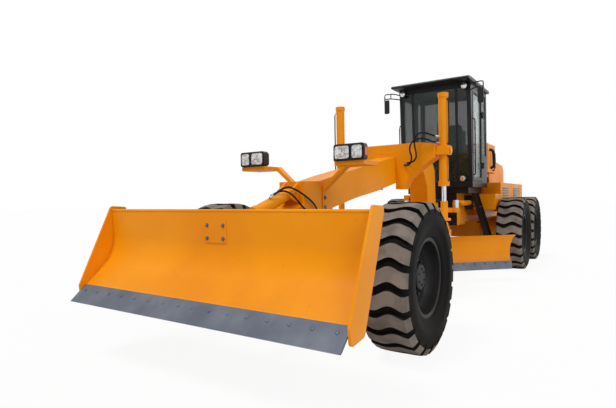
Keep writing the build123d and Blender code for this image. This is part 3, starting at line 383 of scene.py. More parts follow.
HOSE_ROUTES = (  # body its first end is on, radius, length, route: X, distance behind the front axle, Z
    ("dozer_barrel", 0.009, 0.756, (
        (0.025, -0.620, 1.402), (0.070, -0.450, 1.521), (0.140, -0.377, 1.487), (0.178, -0.265, 1.425),
        (0.182, -0.150, 1.366), (0.180, -0.070, 1.312), (0.174, -0.010, 1.236))),
    ("dozer_barrel", 0.009, 0.661, (
        (-0.018, -0.545, 1.425), (0.020, -0.465, 1.475), (0.080, -0.400, 1.462), (0.150, -0.380, 1.400),
        (0.183, -0.310, 1.310), (0.188, -0.190, 1.240), (0.176, -0.060, 1.213))),
    ("front_frame", 0.011, 0.863, (
        (0.745, 2.136, 2.195), (0.672, 2.080, 2.212), (0.590, 2.052, 2.258), (0.478, 2.015, 2.246),
        (0.444, 2.010, 2.130), (0.474, 2.006, 2.010), (0.480, 2.006, 1.905), (0.400, 2.020, 1.850),
        (0.286, 2.106, 1.866))),
    ("front_frame", 0.011, 0.877, (
        (0.745, 2.136, 2.105), (0.690, 2.044, 2.120), (0.600, 2.018, 2.168), (0.500, 1.985, 2.176),
        (0.412, 1.980, 2.120), (0.392, 1.980, 2.020), (0.425, 1.980, 1.935), (0.415, 1.985, 1.868),
        (0.365, 2.005, 1.822), (0.300, 2.050, 1.828), (0.258, 2.106, 1.850))),
)
hose_rubber = worked_surface("hose_rubber", (0.004, 0.004, 0.004), (0.008, 0.008, 0.008), 0.5, clouds=12.0,
                             grain=700.0, bump=0.2, shine=0.12)
fitting_steel = worked_surface("plated_fitting", (0.50, 0.50, 0.47), (0.34, 0.34, 0.32), 0.3, clouds=30.0,
                               grain=300.0, bump=0.05, metal=1.0)
FITTING_FOR_R = 0.009
FITTING = [(0.0, 0.0), (0.0, 0.0135), (0.012, 0.0135), (0.012, 0.0105), (0.016, 0.0105), (0.016, 0.0120),
           (0.044, 0.0120), (0.048, 0.0095), (0.048, 0.0)]
fitting_shells = {"dozer_barrel": [], "front_frame": []}


def as_drawn(curve_object):
    """The mesh that Blender draws of a curve as it now stands."""
    bpy.context.view_layer.update()
    return bpy.data.meshes.new_from_object(curve_object.evaluated_get(bpy.context.evaluated_depsgraph_get()))


for number, (from_body, hose_r, hose_length, route) in enumerate(HOSE_ROUTES):
    line = np.array(route_on(1, route))
    curve = bpy.data.curves.new(f"hose_{number + 1}", "CURVE")
    curve.dimensions = "3D"
    spline = curve.splines.new("NURBS")
    spline.points.add(len(line) - 1)
    spline.points.foreach_set("co", np.column_stack([line, np.ones(len(line))]).ravel())
    spline.order_u = 3
    spline.use_endpoint_u = True
    curve.resolution_u = 14
    drawn = bpy.data.objects.new(f"hose_{number + 1}", curve)
    bpy.context.scene.collection.objects.link(drawn)
    middle_line = None
    if from_body != "front_frame":
        middle_line = [tuple(vertex.co) for vertex in as_drawn(drawn).vertices]
    curve.bevel_depth = hose_r
    curve.bevel_resolution = 5
    curve.use_fill_caps = True
    curve.materials.append(hose_rubber)
    hose = drawn
    if from_body != "front_frame":
        tube_mesh = as_drawn(drawn)
        bpy.data.objects.remove(drawn)
        hose = bpy.data.objects.new(f"hose_{number + 1}", tube_mesh)
        bpy.context.scene.collection.objects.link(hose)
        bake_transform(hose)
    else:
        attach(hose, "front_frame")
    for end, beyond, end_body in ((0, 1, from_body), (-1, -2, "front_frame")):
        crimped = turned(np.array(FITTING) * (1, hose_r / FITTING_FOR_R), 24)
        fitting_shells[end_body].append(aimed(crimped, line[end], line[beyond] - line[end]))
PORT_Z, PORT_HALF_Z = (2.195, 2.105), 0.020
BRACKET_X = (0.1495, 0.166)
port = soft_corners(rectangle((0.727, back(2.136)), (0.763, back(2.180))), 0.004, 3)
port_shells = [run_along("z", port, port_z - PORT_HALF_Z, port_z + PORT_HALF_Z) for port_z in PORT_Z]
bracket = soft_corners(rectangle((back(-0.075), 1.196), (back(0.008), 1.248)), 0.008, 3)
port_shells.append(run_along("x", bracket, *BRACKET_X))
made_piece("hose_ports", port_shells, body_paint, "front_frame", 30.0, bevel=0.002)
for end_body, shells in fitting_shells.items():
    made_piece(f"hose_fittings_on_{end_body}", shells, fitting_steel, end_body)


# Welded structure, cast parts and machined parts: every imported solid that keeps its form, with its
# facets shaded round and its edges broken as on cut and welded plate.
PLAIN_STEEL = ("rear_frame", "main_frame", "lift_saddle", "lift_cylinders", "lift_rods", "lamp_posts",
               "axle_beam", "yoke_left", "yoke_right", "knuckle_left", "knuckle_right", "lean_bar", "tie_rod",
               "tandem_left", "tandem_right", "drawbar", "circle", "blade_carrier", "dozer_barrel", "dozer_rod",
               "moldboard", "cutting_edge", "articulation_cylinders", "articulation_rod_left",
               "articulation_rod_right", "engine", "cab_shell", "door_left", "door_right", "console")
PANELS = ("hood", "hydraulic_tank", "side_boxes")
body_under = {node: body for body, nodes in frame["record"]["behaviour"]["bodies"].items() for node in nodes}


def softened(node, bevel=0.003, sharp=32.0, look=None):
    """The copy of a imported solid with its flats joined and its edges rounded; it takes the solid's place."""
    solid = frame["nodes"][node]
    mesh = solid.data.copy()
    if look is not None:
        mesh.materials.clear()
        mesh.materials.append(look)
    piece = finished(f"dressed_{node}", mesh, body_under[node], sharp, bevel, True)
    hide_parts(node)
    return piece


dressed = {node: softened(node) for node in PLAIN_STEEL}


def painted_part(node, look, of_centre):
    """A second finish on the faces of a dressed solid whose middles pass a test."""
    mesh = dressed[node].data
    mesh.materials.append(look)
    middles = np.empty(len(mesh.polygons) * 3)
    mesh.polygons.foreach_get("center", middles)
    mesh.polygons.foreach_set("material_index", of_centre(middles.reshape(-1, 3)).astype(np.int32))


PLATFORM_BACK, PLATFORM_UNDER = back(5.41), 0.80
ROD_CAP_TOP = 1.3305
painted_part("rear_frame", black_paint,
             lambda middle: (middle[:, 1] < PLATFORM_BACK) & (middle[:, 2] > PLATFORM_UNDER))
painted_part("lift_rods", body_paint, lambda middle: middle[:, 2] < ROD_CAP_TOP)
for node in PANELS:
    softened(node, bevel=0.022)
softened("intake", bevel=0.004)
softened("cab_roof", bevel=0.016, sharp=24.0)


# Tyres: six wide off-road tyres, black rubber with wavy bars moulded across the tread, worn grey
# brown on top. The casing is turned round the axle and each bar is carried across it.
TYRE_R = 0.675
BARS = 22
AXLES = {"front": -3.266, "middle": 2.184, "rear": 3.724}
TRACK = 1.135
CASING = np.array([  # half width and radius of the casing, from the bead out over the tread
    (0.150, 0.338), (0.172, 0.352), (0.186, 0.366), (0.194, 0.392), (0.203, 0.425), (0.2105, 0.452),
    (0.2135, 0.456), (0.2135, 0.468), (0.2185, 0.475), (0.2215, 0.505), (0.2215, 0.540), (0.2185, 0.566),
    (0.2115, 0.592), (0.2040, 0.612), (0.1925, 0.630), (0.1700, 0.640), (0.0800, 0.645), (0.0, 0.646)])
BAR_SWING = 0.0265
BAR_HALF = 0.0635
TREAD_HALF = 0.2185
BAR_ROOT = 0.014  # how deep a bar's foot sits in the casing
BAR_STATIONS = 29
BAR_SECTION = np.array([(-1.10, 0.0), (-1.0, 0.88), (-0.95, 1.0), (0.95, 1.0), (1.0, 0.88), (1.10, 0.0)])


def tread_bar(number):
    """One bar: across the tread by s from -1 to 1, its middle swings as sin(1.5 pi s) (1 - 0.22 s s), its six
    point section rises from the casing to the tread radius, and its ends run down over the shoulder."""
    s = np.linspace(-1, 1, BAR_STATIONS)[:, None]
    swing = BAR_SWING * np.sin(1.5 * np.pi * s) * (1 - 0.22 * s * s)
    half = BAR_HALF + 0.005 * np.abs(s) ** 3
    x = TREAD_HALF * s
    crown = TYRE_R - 0.010 * np.abs(s) ** 4 - 0.055 * np.clip((np.abs(s) - 0.85) / 0.15, 0, 1) ** 1.2
    outer = CASING[CASING[:, 1] > 0.56][::-1]
    floor_r = np.interp(np.abs(x), outer[:, 0], outer[:, 1]) - BAR_ROOT
    run = (swing + half * BAR_SECTION[:, 0]) / TYRE_R + 2 * np.pi * number / BARS
    radius = floor_r + (crown - floor_r) * BAR_SECTION[:, 1]
    points = np.stack([np.broadcast_to(x, run.shape), radius * np.sin(run), radius * np.cos(run)], -1)
    corners = len(BAR_SECTION)
    faces = grid_faces(BAR_STATIONS, corners, False, True)
    last = BAR_STATIONS * corners - 1
    ends = [list(range(corners)), list(range(last, last - corners, -1))]
    return points.reshape(-1, 3), faces.tolist() + ends


worn_tread = worked_surface("worn_tread", (0.200, 0.168, 0.140), (0.105, 0.088, 0.074), 0.85, clouds=7.0,
                            grain=160.0, bump=0.35, dust=0.15, dust_top=1.4)
half_casing = np.concatenate([CASING, (CASING * (-1, 1))[-2::-1]])
casing_shell = turned(half_casing, 96)
bar_shells = [tread_bar(n) for n in range(BARS)]
bar_sides = (BAR_STATIONS - 1) * len(BAR_SECTION)
bar_tops = np.zeros(bar_sides + 2, int)
bar_tops[2:bar_sides:len(BAR_SECTION)] = 1
for place_name, axle_y in AXLES.items():
    for side_name, side in SIDES:
        move = np.array((side * TRACK, axle_y, TYRE_R))
        shells = [(points * (side, 1, 1) + move, faces) for points, faces in [casing_shell] + bar_shells]
        kinds = np.concatenate([np.zeros(len(casing_shell[1]), int)] + [bar_tops] * BARS)
        tyre = made_piece(f"rubber_{place_name}_{side_name}", shells, [tyre_rubber, worn_tread],
                          f"wheel_{place_name}_{side_name}", 38.0, kinds)
        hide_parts(f"tyre_{place_name}_{side_name}")


# Rims: pressed and welded steel, painted black, a deep dish on the outer side with its ring of wheel
# nuts round the hub, an open drum on the inner side.
NUTS = 12
NUT_RING_R, NUT_SEAT_X = 0.150, 0.056
CAP_RING_R, CAP_FACE_X = 0.070, 0.110
NUT, CAP_BOLT = (0.030, 0.026), (0.014, 0.008)  # across, height
HUB_FACE = {"front": 0.948, "middle": 0.868, "rear": 0.868}


def bolt(at, direction, across, height):
    """A hexagon head with a washer under it, standing on a face along its direction."""
    head = [(0.0, 0.0), (0.0, across * 0.72), (height * 0.25, across * 0.72), (height * 0.25, across * 0.56),
            (height * 0.85, across * 0.56), (height, across * 0.46), (height, 0.0)]
    return aimed(turned(head, 6), at, direction)


def rim_profile(hub_from):
    """The rim's cross section as (x, radius), from the inner flange, over the dish, to the hub's bore."""
    return [(-0.1745, 0.3605), (-0.1603, 0.3605), (-0.160, 0.330), (0.160, 0.330), (0.1603, 0.3605),
            (0.170, 0.3605), (0.1745, 0.356), (0.1745, 0.331), (0.168, 0.324), (0.150, 0.320), (0.118, 0.314),
            (0.070, 0.300), (0.048, 0.284), (0.040, 0.262), (0.040, 0.186), (0.052, 0.178), (0.056, 0.168),
            (0.056, 0.132), (0.064, 0.120), (0.098, 0.117), (0.107, 0.108), (0.110, 0.094), (0.110, 0.0),
            (0.040, 0.0), (0.040, 0.0625), (hub_from, 0.0625), (hub_from, 0.118), (0.010, 0.118),
            (0.014, 0.186), (0.014, 0.262), (0.010, 0.300), (-0.030, 0.3155), (-0.160, 0.3157),
            (-0.1745, 0.3157)]


for place_name, axle_y in AXLES.items():
    for side_name, side in SIDES:
        hub_from = HUB_FACE[place_name] - TRACK
        nut_turns = np.linspace(0, 2 * np.pi, NUTS, endpoint=False)
        nuts = [bolt((NUT_SEAT_X, NUT_RING_R * math.sin(a), NUT_RING_R * math.cos(a)), (1, 0, 0), *NUT)
                for a in nut_turns]
        cap_bolts = [bolt((CAP_FACE_X, CAP_RING_R * math.sin(a), CAP_RING_R * math.cos(a)), (1, 0, 0),
                          *CAP_BOLT)
                     for a in nut_turns[::2]]
        valve = [aimed(turned([(0.0, 0.0), (0.0, 0.008), (0.035, 0.005), (0.050, 0.005), (0.050, 0.0)], 16),
                       (0.060, 0.0, 0.296), (1, 0, -0.4))]
        move = np.array((side * TRACK, axle_y, TYRE_R))
        shells = [(points * (side, 1, 1) + move, faces)
                  for points, faces in [turned(rim_profile(hub_from), 96)] + nuts + cap_bolts + valve]
        rim = made_piece(f"wheel_disc_{place_name}_{side_name}", shells, rim_paint,
                         f"wheel_{place_name}_{side_name}", 30.0)
        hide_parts(f"rim_{place_name}_{side_name}")


# Front blade: rolled plate, its face straight above and curved forward below, a round bar along its
# top, thick end plates, ribs behind it and two arms to the head. The face carries a bolted plate.
BLADE_HALF = 1.400
BOARD_T = 0.018
FACE_TOP_Z, CURVE_FROM_Z = 1.309, 1.064
FACE_Y, CURVE_R, FOOT_LEAN = -1.302, 0.360, math.radians(46.5)
FOOT_RUN = 0.272
BAR_R = 0.0135
END_T = 0.020
RIB_X, RIB_HALF_T = (0.350, 0.700, 1.050), 0.006
ARM_X, EAR_X = (0.060, 0.100), (0.042, 0.062)
END_PLATE = ((-1.312, 1.350), (-1.646, 0.638), (-1.634, 0.521), (-1.455, 0.541), (-1.303, 0.901),
             (-1.149, 1.289), (-1.148, 1.339))
DOZER_ARM = ((-0.400, 0.905), (-1.150, 1.000), (-1.280, 1.180), (-1.285, 1.000), (-1.335, 0.879),
             (-1.385, 0.815), (-1.250, 0.720), (-1.000, 0.740), (-0.400, 0.800), (-0.345, 0.850))
DOZER_EAR = ((-1.290, 1.220), (-1.215, 1.190), (-1.165, 1.140), (-1.200, 1.095), (-1.290, 1.050))


def round_bar(length, radius):
    """The profile of a plain round bar, to be turned round the X axis."""
    return [(0.0, 0.0), (0.0, radius), (length, radius), (length, 0.0)]


def placed(outline):
    """Side points given behind the front axle, in the machine's own Y."""
    return [(back(y), z) for y, z in outline]


def board_line(behind):
    """The board's face, or a line so far behind it: straight down, an arc of CURVE_R, straight to the foot."""
    turns = np.linspace(0, FOOT_LEAN, 17)
    y = FACE_Y - CURVE_R + (CURVE_R + behind) * np.cos(turns)
    z = CURVE_FROM_Z - (CURVE_R + behind) * np.sin(turns)
    foot = (y[-1] - FOOT_RUN * math.sin(FOOT_LEAN), z[-1] - FOOT_RUN * math.cos(FOOT_LEAN))
    return [(FACE_Y + behind, FACE_TOP_Z)] + list(zip(y, z)) + [foot]


board_half = BLADE_HALF - END_T + 0.0005
board = run_along("x", placed(board_line(0.0) + board_line(BOARD_T)[::-1]), -board_half, board_half)
top_bar = aimed(turned(round_bar(2 * BLADE_HALF - 0.04, BAR_R), 20),
                (-BLADE_HALF + 0.02, back(FACE_Y + 0.009), FACE_TOP_Z - 0.002))
blade_shells = [board, top_bar]
for side in (1, -1):
    ends = placed(soft_corners(END_PLATE, [0.030, 0.020, 0.030, 0.040, 0.060, 0.020, 0.016]))
    blade_shells.append(run_along("x", ends, side * (BLADE_HALF - END_T), side * BLADE_HALF))
    blade_shells.append(run_along("x", placed(DOZER_ARM), side * ARM_X[0], side * ARM_X[1]))
    blade_shells.append(run_along("x", placed(DOZER_EAR), side * EAR_X[0], side * EAR_X[1]))
    boss = [(0.0, 0.0325), (0.0, 0.058), (0.042, 0.058), (0.042, 0.0325)]
    blade_shells.append(aimed(turned(boss, 48), (side * 0.080 - 0.021, back(-0.400), 0.850)))
    rib_back = [(-1.515, 0.640), (-1.330, 0.790), (-1.235, 0.960), (-1.235, 1.240)]
    for rib_x in RIB_X:
        rib = placed(board_line(BOARD_T - 0.002) + rib_back)
        blade_shells.append(run_along("x", rib, side * rib_x - RIB_HALF_T, side * rib_x + RIB_HALF_T))
blade_shells.append(aimed(turned(round_bar(0.124, 0.022), 32), (-0.062, back(-1.200), 1.140)))
lift_plate = soft_corners(rectangle((-0.117, 1.045), (0.117, 1.235)), 0.008, 4)
blade_shells.append(run_along("y", lift_plate, back(FACE_Y - 0.007), back(FACE_Y + 0.001)))
front_blade = made_piece("front_blade", blade_shells, body_paint, body_under["dozer_blade"],
                         28.0, bevel=0.0025)
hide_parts("dozer_blade")
plate_bolts = [bolt((x, back(FACE_Y - 0.007), z), (0, -1, 0), 0.026, 0.010)
               for x in (-0.088, 0.088) for z in (1.084, 1.190)]
made_piece("blade_plate_bolts", plate_bolts, edge_steel, body_under["dozer_blade"], 30.0)

# Front blade's wearing edge: two lengths of hard steel plate with a chamfered cutting lip, held
# by a row of low hexagon bolts. Its light bluish colour is partly a painted reflection of the sky.
EDGE_TOP, EDGE_FOOT = (-1.588, 0.640), (-1.736, 0.510)
EDGE_T = 0.016
EDGE_BOLTS_A_SIDE, FIRST_BOLT_X, BOLT_PITCH, BOLT_DOWN = 8, 0.075, 0.176, 0.060
fall = np.array(EDGE_FOOT) - np.array(EDGE_TOP)
fall /= np.linalg.norm(fall)
outward = np.array((fall[1], -fall[0]))
top, foot = np.array(EDGE_TOP), np.array(EDGE_FOOT)
edge_outline = [top, foot, foot - outward * EDGE_T * 0.5 - fall * 0.004,
                foot - outward * EDGE_T - fall * 0.020, top - outward * EDGE_T]
edge_shells = [run_along("x", placed(edge_outline), side * 0.0006, side * (BLADE_HALF - 0.0205))
               for side in (1, -1)]
for side in (1, -1):
    for number in range(EDGE_BOLTS_A_SIDE):
        run = side * (FIRST_BOLT_X + number * BOLT_PITCH)
        seat = top + fall * BOLT_DOWN
        edge_shells.append(bolt((run, back(seat[0]), seat[1]), (0, outward[0], outward[1]), 0.024, 0.006))
wear_edge = made_piece("front_wear_edge", edge_shells, edge_steel, body_under["dozer_edge"], 28.0,
                       bevel=0.001)
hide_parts("dozer_edge")


# Headlamps: moulded black housings on the two posts, each with a large clear lens inboard and a small
# one outboard over silvered bowls, and an orange marker on its outer end.
LAMP_X = (0.430, 0.756)
LAMP_Z = (1.7483, 1.908)
LAMP_FACE_Y, LAMP_BACK_Y = back(-0.145), back(-0.020)
LENS_SEATS = ((0.444, 0.600), (0.628, 0.738))
LENS_Z = (1.768, 1.889)
LAMP_MIDDLE = (0.593, 1.828)
LEAD_ROUTE = ((0.600, -0.022, 1.815), (0.600, 0.015, 1.812), (0.600, 0.050, 1.790), (0.600, 0.062, 1.752))


def tube(points, radius, sides=16):
    """A round bar through points, its ends closed: each ring stands across the run of its neighbours."""
    line = np.asarray(points, float)
    run = np.gradient(line, axis=0)
    run /= np.linalg.norm(run, axis=1)[:, None]
    beside = np.cross(run, (0.31, 0.17, 0.93))
    beside /= np.linalg.norm(beside, axis=1)[:, None]
    over = np.cross(run, beside)
    angle = np.linspace(0, 2 * np.pi, sides, endpoint=False)[None, :, None]
    rings = line[:, None] + radius * (np.cos(angle) * beside[:, None] + np.sin(angle) * over[:, None])
    count = len(line)
    caps = [list(range(sides)), list(range(count * sides - 1, (count - 1) * sides - 1, -1))]
    return rings.reshape(-1, 3), grid_faces(count, sides, False, True).tolist() + caps


silvered = worked_surface("silvered_bowl", (0.86, 0.85, 0.83), (0.20, 0.19, 0.19), 0.16, clouds=36.0,
                          grain=90.0, bump=0.3, metal=0.9)
marker_orange = worked_surface("marker_lens", (0.70, 0.12, 0.01), (0.60, 0.09, 0.01), 0.2, grain=300.0,
                               bump=0.3)
clear_lens = bpy.data.materials.new("clear_lens")
clear_lens.use_nodes = True
tree = clear_lens.node_tree
lens_shader = tree.nodes["Principled BSDF"]
lens_place = shader_node(tree.nodes, "TexCoord")
flutes = shader_node(tree.nodes, "TexWave", {"Scale": 34.0}, bands_direction="X")
lens_bump = shader_node(tree.nodes, "Bump", {"Strength": 0.35, "Distance": 0.002})
wired(tree, (lens_place.outputs["Object"], flutes.inputs["Vector"]),
      (flutes.outputs["Fac"], lens_bump.inputs["Height"]),
      (lens_bump.outputs["Normal"], lens_shader.inputs["Normal"]))
for socket, value in (("Base Color", (0.85, 0.84, 0.82, 1)), ("Roughness", 0.08), ("Alpha", 0.16)):
    lens_shader.inputs[socket].default_value = value


for side_name, side in SIDES:
    housing, bezels, bowls, lenses = [], [], [], []
    outer = soft_corners(rectangle((LAMP_X[0], LAMP_Z[0]), (LAMP_X[1], LAMP_Z[1])), 0.024, 6)
    inner_back = [((x - LAMP_MIDDLE[0]) * 0.90 + LAMP_MIDDLE[0], (z - LAMP_MIDDLE[1]) * 0.86 + LAMP_MIDDLE[1])
                  for x, z in outer]
    shell_rings = [np.insert(np.array(outer), 1, LAMP_FACE_Y + 0.010, axis=1),
                   np.insert(np.array(outer), 1, LAMP_BACK_Y - 0.040, axis=1),
                   np.insert(np.array(inner_back), 1, LAMP_BACK_Y, axis=1)]
    count = len(outer)
    caps = [list(range(count)), list(range(3 * count - 1, 2 * count - 1, -1))]
    housing.append((np.concatenate(shell_rings), grid_faces(3, count, False, True).tolist() + caps))
    for xs in LENS_SEATS:
        ring = [soft_corners(rectangle((xs[0] - g, LENS_Z[0] - g), (xs[1] + g, LENS_Z[1] + g)), 0.022 + g, 4)
                for g in (0.0, 0.008)]
        levels = ((ring[0], LAMP_FACE_Y + 0.012), (ring[0], LAMP_FACE_Y + 0.001),
                  (ring[1], LAMP_FACE_Y + 0.001), (ring[1], LAMP_FACE_Y + 0.012))
        points = np.concatenate([np.insert(np.array(flat), 1, y, axis=1) for flat, y in levels])
        bezels.append((points, grid_faces(4, len(ring[0]), True, True).tolist()))
        pane_ring = np.array(ring[0])
        lenses.append(run_along("y", pane_ring, LAMP_FACE_Y + 0.0015, LAMP_FACE_Y + 0.0045))
        bowls.append(run_along("y", pane_ring, LAMP_FACE_Y + 0.0075, LAMP_FACE_Y + 0.0095))
        reach = min(xs[1] - xs[0], LENS_Z[1] - LENS_Z[0]) / 2 - 0.010
        bowl = turned([(0.0, 0.0), (0.0, reach), (0.0015, reach - 0.003), (0.0008, reach * 0.45),
                       (0.003, reach * 0.30), (0.0035, 0.0)], 40)
        bowls.append(aimed(bowl, ((xs[0] + xs[1]) / 2, LAMP_FACE_Y + 0.0075, (LENS_Z[0] + LENS_Z[1]) / 2),
                           (0, -1, 0)))
    marker = soft_corners(rectangle((LAMP_FACE_Y + 0.030, 1.790), (LAMP_FACE_Y + 0.080, 1.868)), 0.010, 4)
    markers = [run_along("x", marker, LAMP_X[1] - 0.002, LAMP_X[1] + 0.004)]
    mirrored = [[(points * (side, 1, 1), faces) for points, faces in group]
                for group in (housing + bezels, bowls, lenses, markers)]
    lamp_body = made_piece(f"headlamp_{side_name}", mirrored[0], moulded_plastic, "front_frame",
                           34.0, bevel=0.0015)
    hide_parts("headlamps")
    made_piece(f"headlamp_bowls_{side_name}", mirrored[1], silvered, "front_frame", 30.0)
    made_piece(f"headlamp_lenses_{side_name}", mirrored[2], clear_lens, "front_frame", 30.0)
    made_piece(f"headlamp_marker_{side_name}", mirrored[3], marker_orange, "front_frame", 30.0,
               bevel=0.001)
    lead = route_on(side, LEAD_ROUTE)
    made_piece(f"headlamp_lead_{side_name}", [tube(lead, 0.006)], hose_rubber, "front_frame",
               60.0)


# Cab: windscreen in three panes between black bars, lighter side and rear panes, wiper, grab rail,
# mirrors on bent tube arms, round work lamps above and below, and a silver trim along the roof.
front_glass = flat_glass("windscreen_glass", (0.006, 0.028, 0.022), 0.58, 2.0)
SCREEN = ((4.308, 2.300), (4.341, 1.641), (4.347, 1.641), (4.314, 2.300), (4.264, 3.2895), (4.258, 3.2895))
SCREEN_PANES = ((-0.5795, 0.1595), (-0.375, 0.750), (0.420, 0.1595))  # left edge, width
SCREEN_BAR = ((4.300, 2.300), (4.334, 1.641), (4.360, 1.641), (4.328, 2.300), (4.278, 3.2895), (4.250, 3.2895))
BAR_EDGES, BAR_WIDE = (-0.420, 0.375), 0.045
screen = made_piece("windscreen", [run_along("x", placed(SCREEN), x, x + wide) for x, wide in SCREEN_PANES],
                    front_glass, "rear_frame", 30.0)
screen_bars = [run_along("x", placed(SCREEN_BAR), x, x + BAR_WIDE) for x in BAR_EDGES]
made_piece("windscreen_bars", screen_bars, black_paint, "rear_frame", 30.0, bevel=0.003)
PANE_Z = (2.1503, 3.2897)
REAR_PANE_HALF, REAR_PANE_Y = 0.5697, (5.440, 5.446)
SIDE_PANE_X, SIDE_PANE_Y = (0.624, 0.630), (5.1253, 5.3897)
rear_pane = rectangle((-REAR_PANE_HALF, PANE_Z[0]), (REAR_PANE_HALF, PANE_Z[1]))
side_pane = placed(rectangle((SIDE_PANE_Y[0], PANE_Z[0]), (SIDE_PANE_Y[1], PANE_Z[1])))
panes = [run_along("y", rear_pane, back(REAR_PANE_Y[0]), back(REAR_PANE_Y[1]))]
for side in (1, -1):
    panes.append(run_along("x", side_pane, side * SIDE_PANE_X[0], side * SIDE_PANE_X[1]))
side_panes = made_piece("side_and_rear_panes", panes, side_glass, "rear_frame", 30.0)
for piece in (screen, side_panes):
    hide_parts("cab_glass")
for side_name in ("left", "right"):
    softened(f"door_glass_{side_name}", 0.0008, look=side_glass)

LAMP_PLACES = (  # X, face behind axle, Z, radius, length: high, then low on the cab's front
    (0.560, 4.150, 3.300, 0.058, 0.100),
    (0.505, 4.215, 1.700, 0.056, 0.086),
)
MIRROR_ARM = ((0.640, 4.236, 3.300), (0.690, 4.150, 3.312), (0.760, 4.122, 3.322), (0.850, 4.116, 3.326),
              (0.886, 4.115, 3.318), (0.892, 4.115, 3.290), (0.892, 4.115, 3.200))
MIRROR_STAY = ((0.640, 4.236, 3.220), (0.700, 4.160, 3.226), (0.780, 4.122, 3.236), (0.888, 4.116, 3.240))
MIRROR_TIE = ((0.770, 4.121, 3.322), (0.772, 4.121, 3.237))
GRAB_RAIL = ((0.662, 4.356, 1.760), (0.690, 4.350, 1.775), (0.696, 4.350, 1.820), (0.696, 4.350, 2.690),
             (0.690, 4.350, 2.735), (0.662, 4.356, 2.750))
WIPER = (  # route, radius, sides: arm, motor's spindle, blade
    (((0.300, 4.286, 1.700), (0.120, 4.268, 2.250), (0.060, 4.262, 2.420)), 0.007, 10),
    (((0.300, 4.292, 1.690), (0.300, 4.330, 1.690)), 0.014, 14),
    (((0.060, 4.291, 2.100), (0.060, 4.262, 2.720)), 0.006, 10),
)
mirror_case = soft_corners(rectangle((0.800, 2.960), (0.896, 3.215)), 0.020, 5)
mirror_face = soft_corners(rectangle((0.806, 2.966), (0.890, 3.209)), 0.016, 5)
cab_trim, lamp_faces, mirror_glass = [], [], []
for side in (1, -1):
    for lamp_x, face_y, lamp_z, lamp_r, lamp_long in LAMP_PLACES:
        cup = [(0.0, lamp_r - 0.006), (0.0, lamp_r), (0.020, lamp_r), (0.052, lamp_r * 0.72),
               (0.066, lamp_r * 0.34), (lamp_long, lamp_r * 0.30), (lamp_long, 0.0), (0.010, 0.0),
               (0.010, lamp_r - 0.006)]
        lamp_face = [(0.003, 0.0), (0.005, lamp_r * 0.5), (0.009, lamp_r - 0.008), (0.0095, lamp_r - 0.008),
                     (0.0095, 0.0)]
        for profile, shells in ((cup, cab_trim), (lamp_face, lamp_faces)):
            shells.append(aimed(turned(profile, 40), (side * lamp_x, back(face_y), lamp_z), (0, 1, 0)))
    cab_trim.append(tube(route_on(side, MIRROR_ARM), 0.010, 14))
    cab_trim.append(tube(route_on(side, MIRROR_STAY), 0.010, 14))
    cab_trim.append(tube(route_on(side, MIRROR_TIE), 0.009, 12))
    cab_trim.append(run_along("y", [(side * x, z) for x, z in mirror_case], back(4.104), back(4.122)))
    mirror_glass.append(run_along("y", [(side * x, z) for x, z in mirror_face], back(4.1222), back(4.1235)))
    cab_trim.append(tube(route_on(side, GRAB_RAIL), 0.011, 14))
for route, radius, sides in WIPER:
    cab_trim.append(tube(route_on(1, route), radius, sides))
cab_pieces = made_piece("cab_trim", cab_trim, moulded_plastic, "rear_frame", 34.0, bevel=0.001)
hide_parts("cab_fittings")
made_piece("work_lamp_faces", lamp_faces, silvered, "rear_frame", 30.0)
made_piece("mirror_glass", mirror_glass, silvered, "rear_frame", 30.0)
roof_silver = worked_surface("roof_silver_trim", (0.62, 0.64, 0.65), (0.50, 0.52, 0.53), 0.35, grain=200.0,
                             bump=0.03, metal=0.2)
ROOF_HALF = 0.689
ROOF_EDGE = ((3.975, 3.417), (4.100, 3.432), (5.490, 3.427), (5.520, 3.400))
trims = [tube([(side * ROOF_HALF, y, z) for y, z in placed(ROOF_EDGE)], 0.0062, 12) for side in (1, -1)]
trims.append(tube([(-ROOF_HALF, back(3.972), 3.417), (ROOF_HALF, back(3.972), 3.417)], 0.0045, 12))
made_piece("roof_trim", trims, roof_silver, "rear_frame", 40.0)

# Door handles of bent round bar, and a ladder on each side of the platform: two steel side plates with
# open slatted treads between them, splayed outwards towards the ground.
HANDLE = ((0.656, 4.410, 2.150), (0.674, 4.410, 2.150), (0.678, 4.410, 2.180), (0.678, 4.410, 2.270),
          (0.674, 4.410, 2.300), (0.656, 4.410, 2.300))
for side_name, side in SIDES:
    made_piece(f"door_handle_{side_name}", [tube(route_on(side, HANDLE), 0.008, 12)], moulded_plastic,
               f"door_{side_name}", 40.0)
STEP_Z, STEP_SPLAY = (0.640, 0.900, 1.180), 0.29
STEP_OUT = 0.848
SLATS_A_STEP, SLAT_PITCH, SLAT_WIDE, SLAT_DEEP = 5, 0.030, 0.012, 0.022
steps = []
for side in (1, -1):
    stringer = soft_corners([(side * 0.545, 1.440), (side * 0.615, 1.440), (side * STEP_OUT, STEP_Z[0]),
                             (side * STEP_OUT, 0.600), (side * 0.770, 0.600)], 0.010, 3)
    for y in (4.662, 4.922):
        steps.append(run_along("y", stringer, back(y - 0.006), back(y + 0.006)))
    for tread_z in STEP_Z:
        reach = STEP_OUT - (tread_z - STEP_Z[0]) * STEP_SPLAY
        for number in range(SLATS_A_STEP):
            edge = reach - 0.010 - number * SLAT_PITCH
            slat = rectangle((side * edge, tread_z), (side * (edge - SLAT_WIDE), tread_z + SLAT_DEEP))
            steps.append(run_along("y", slat, back(4.668), back(4.916)))
made_piece("steps", steps, black_paint, "rear_frame", 34.0)

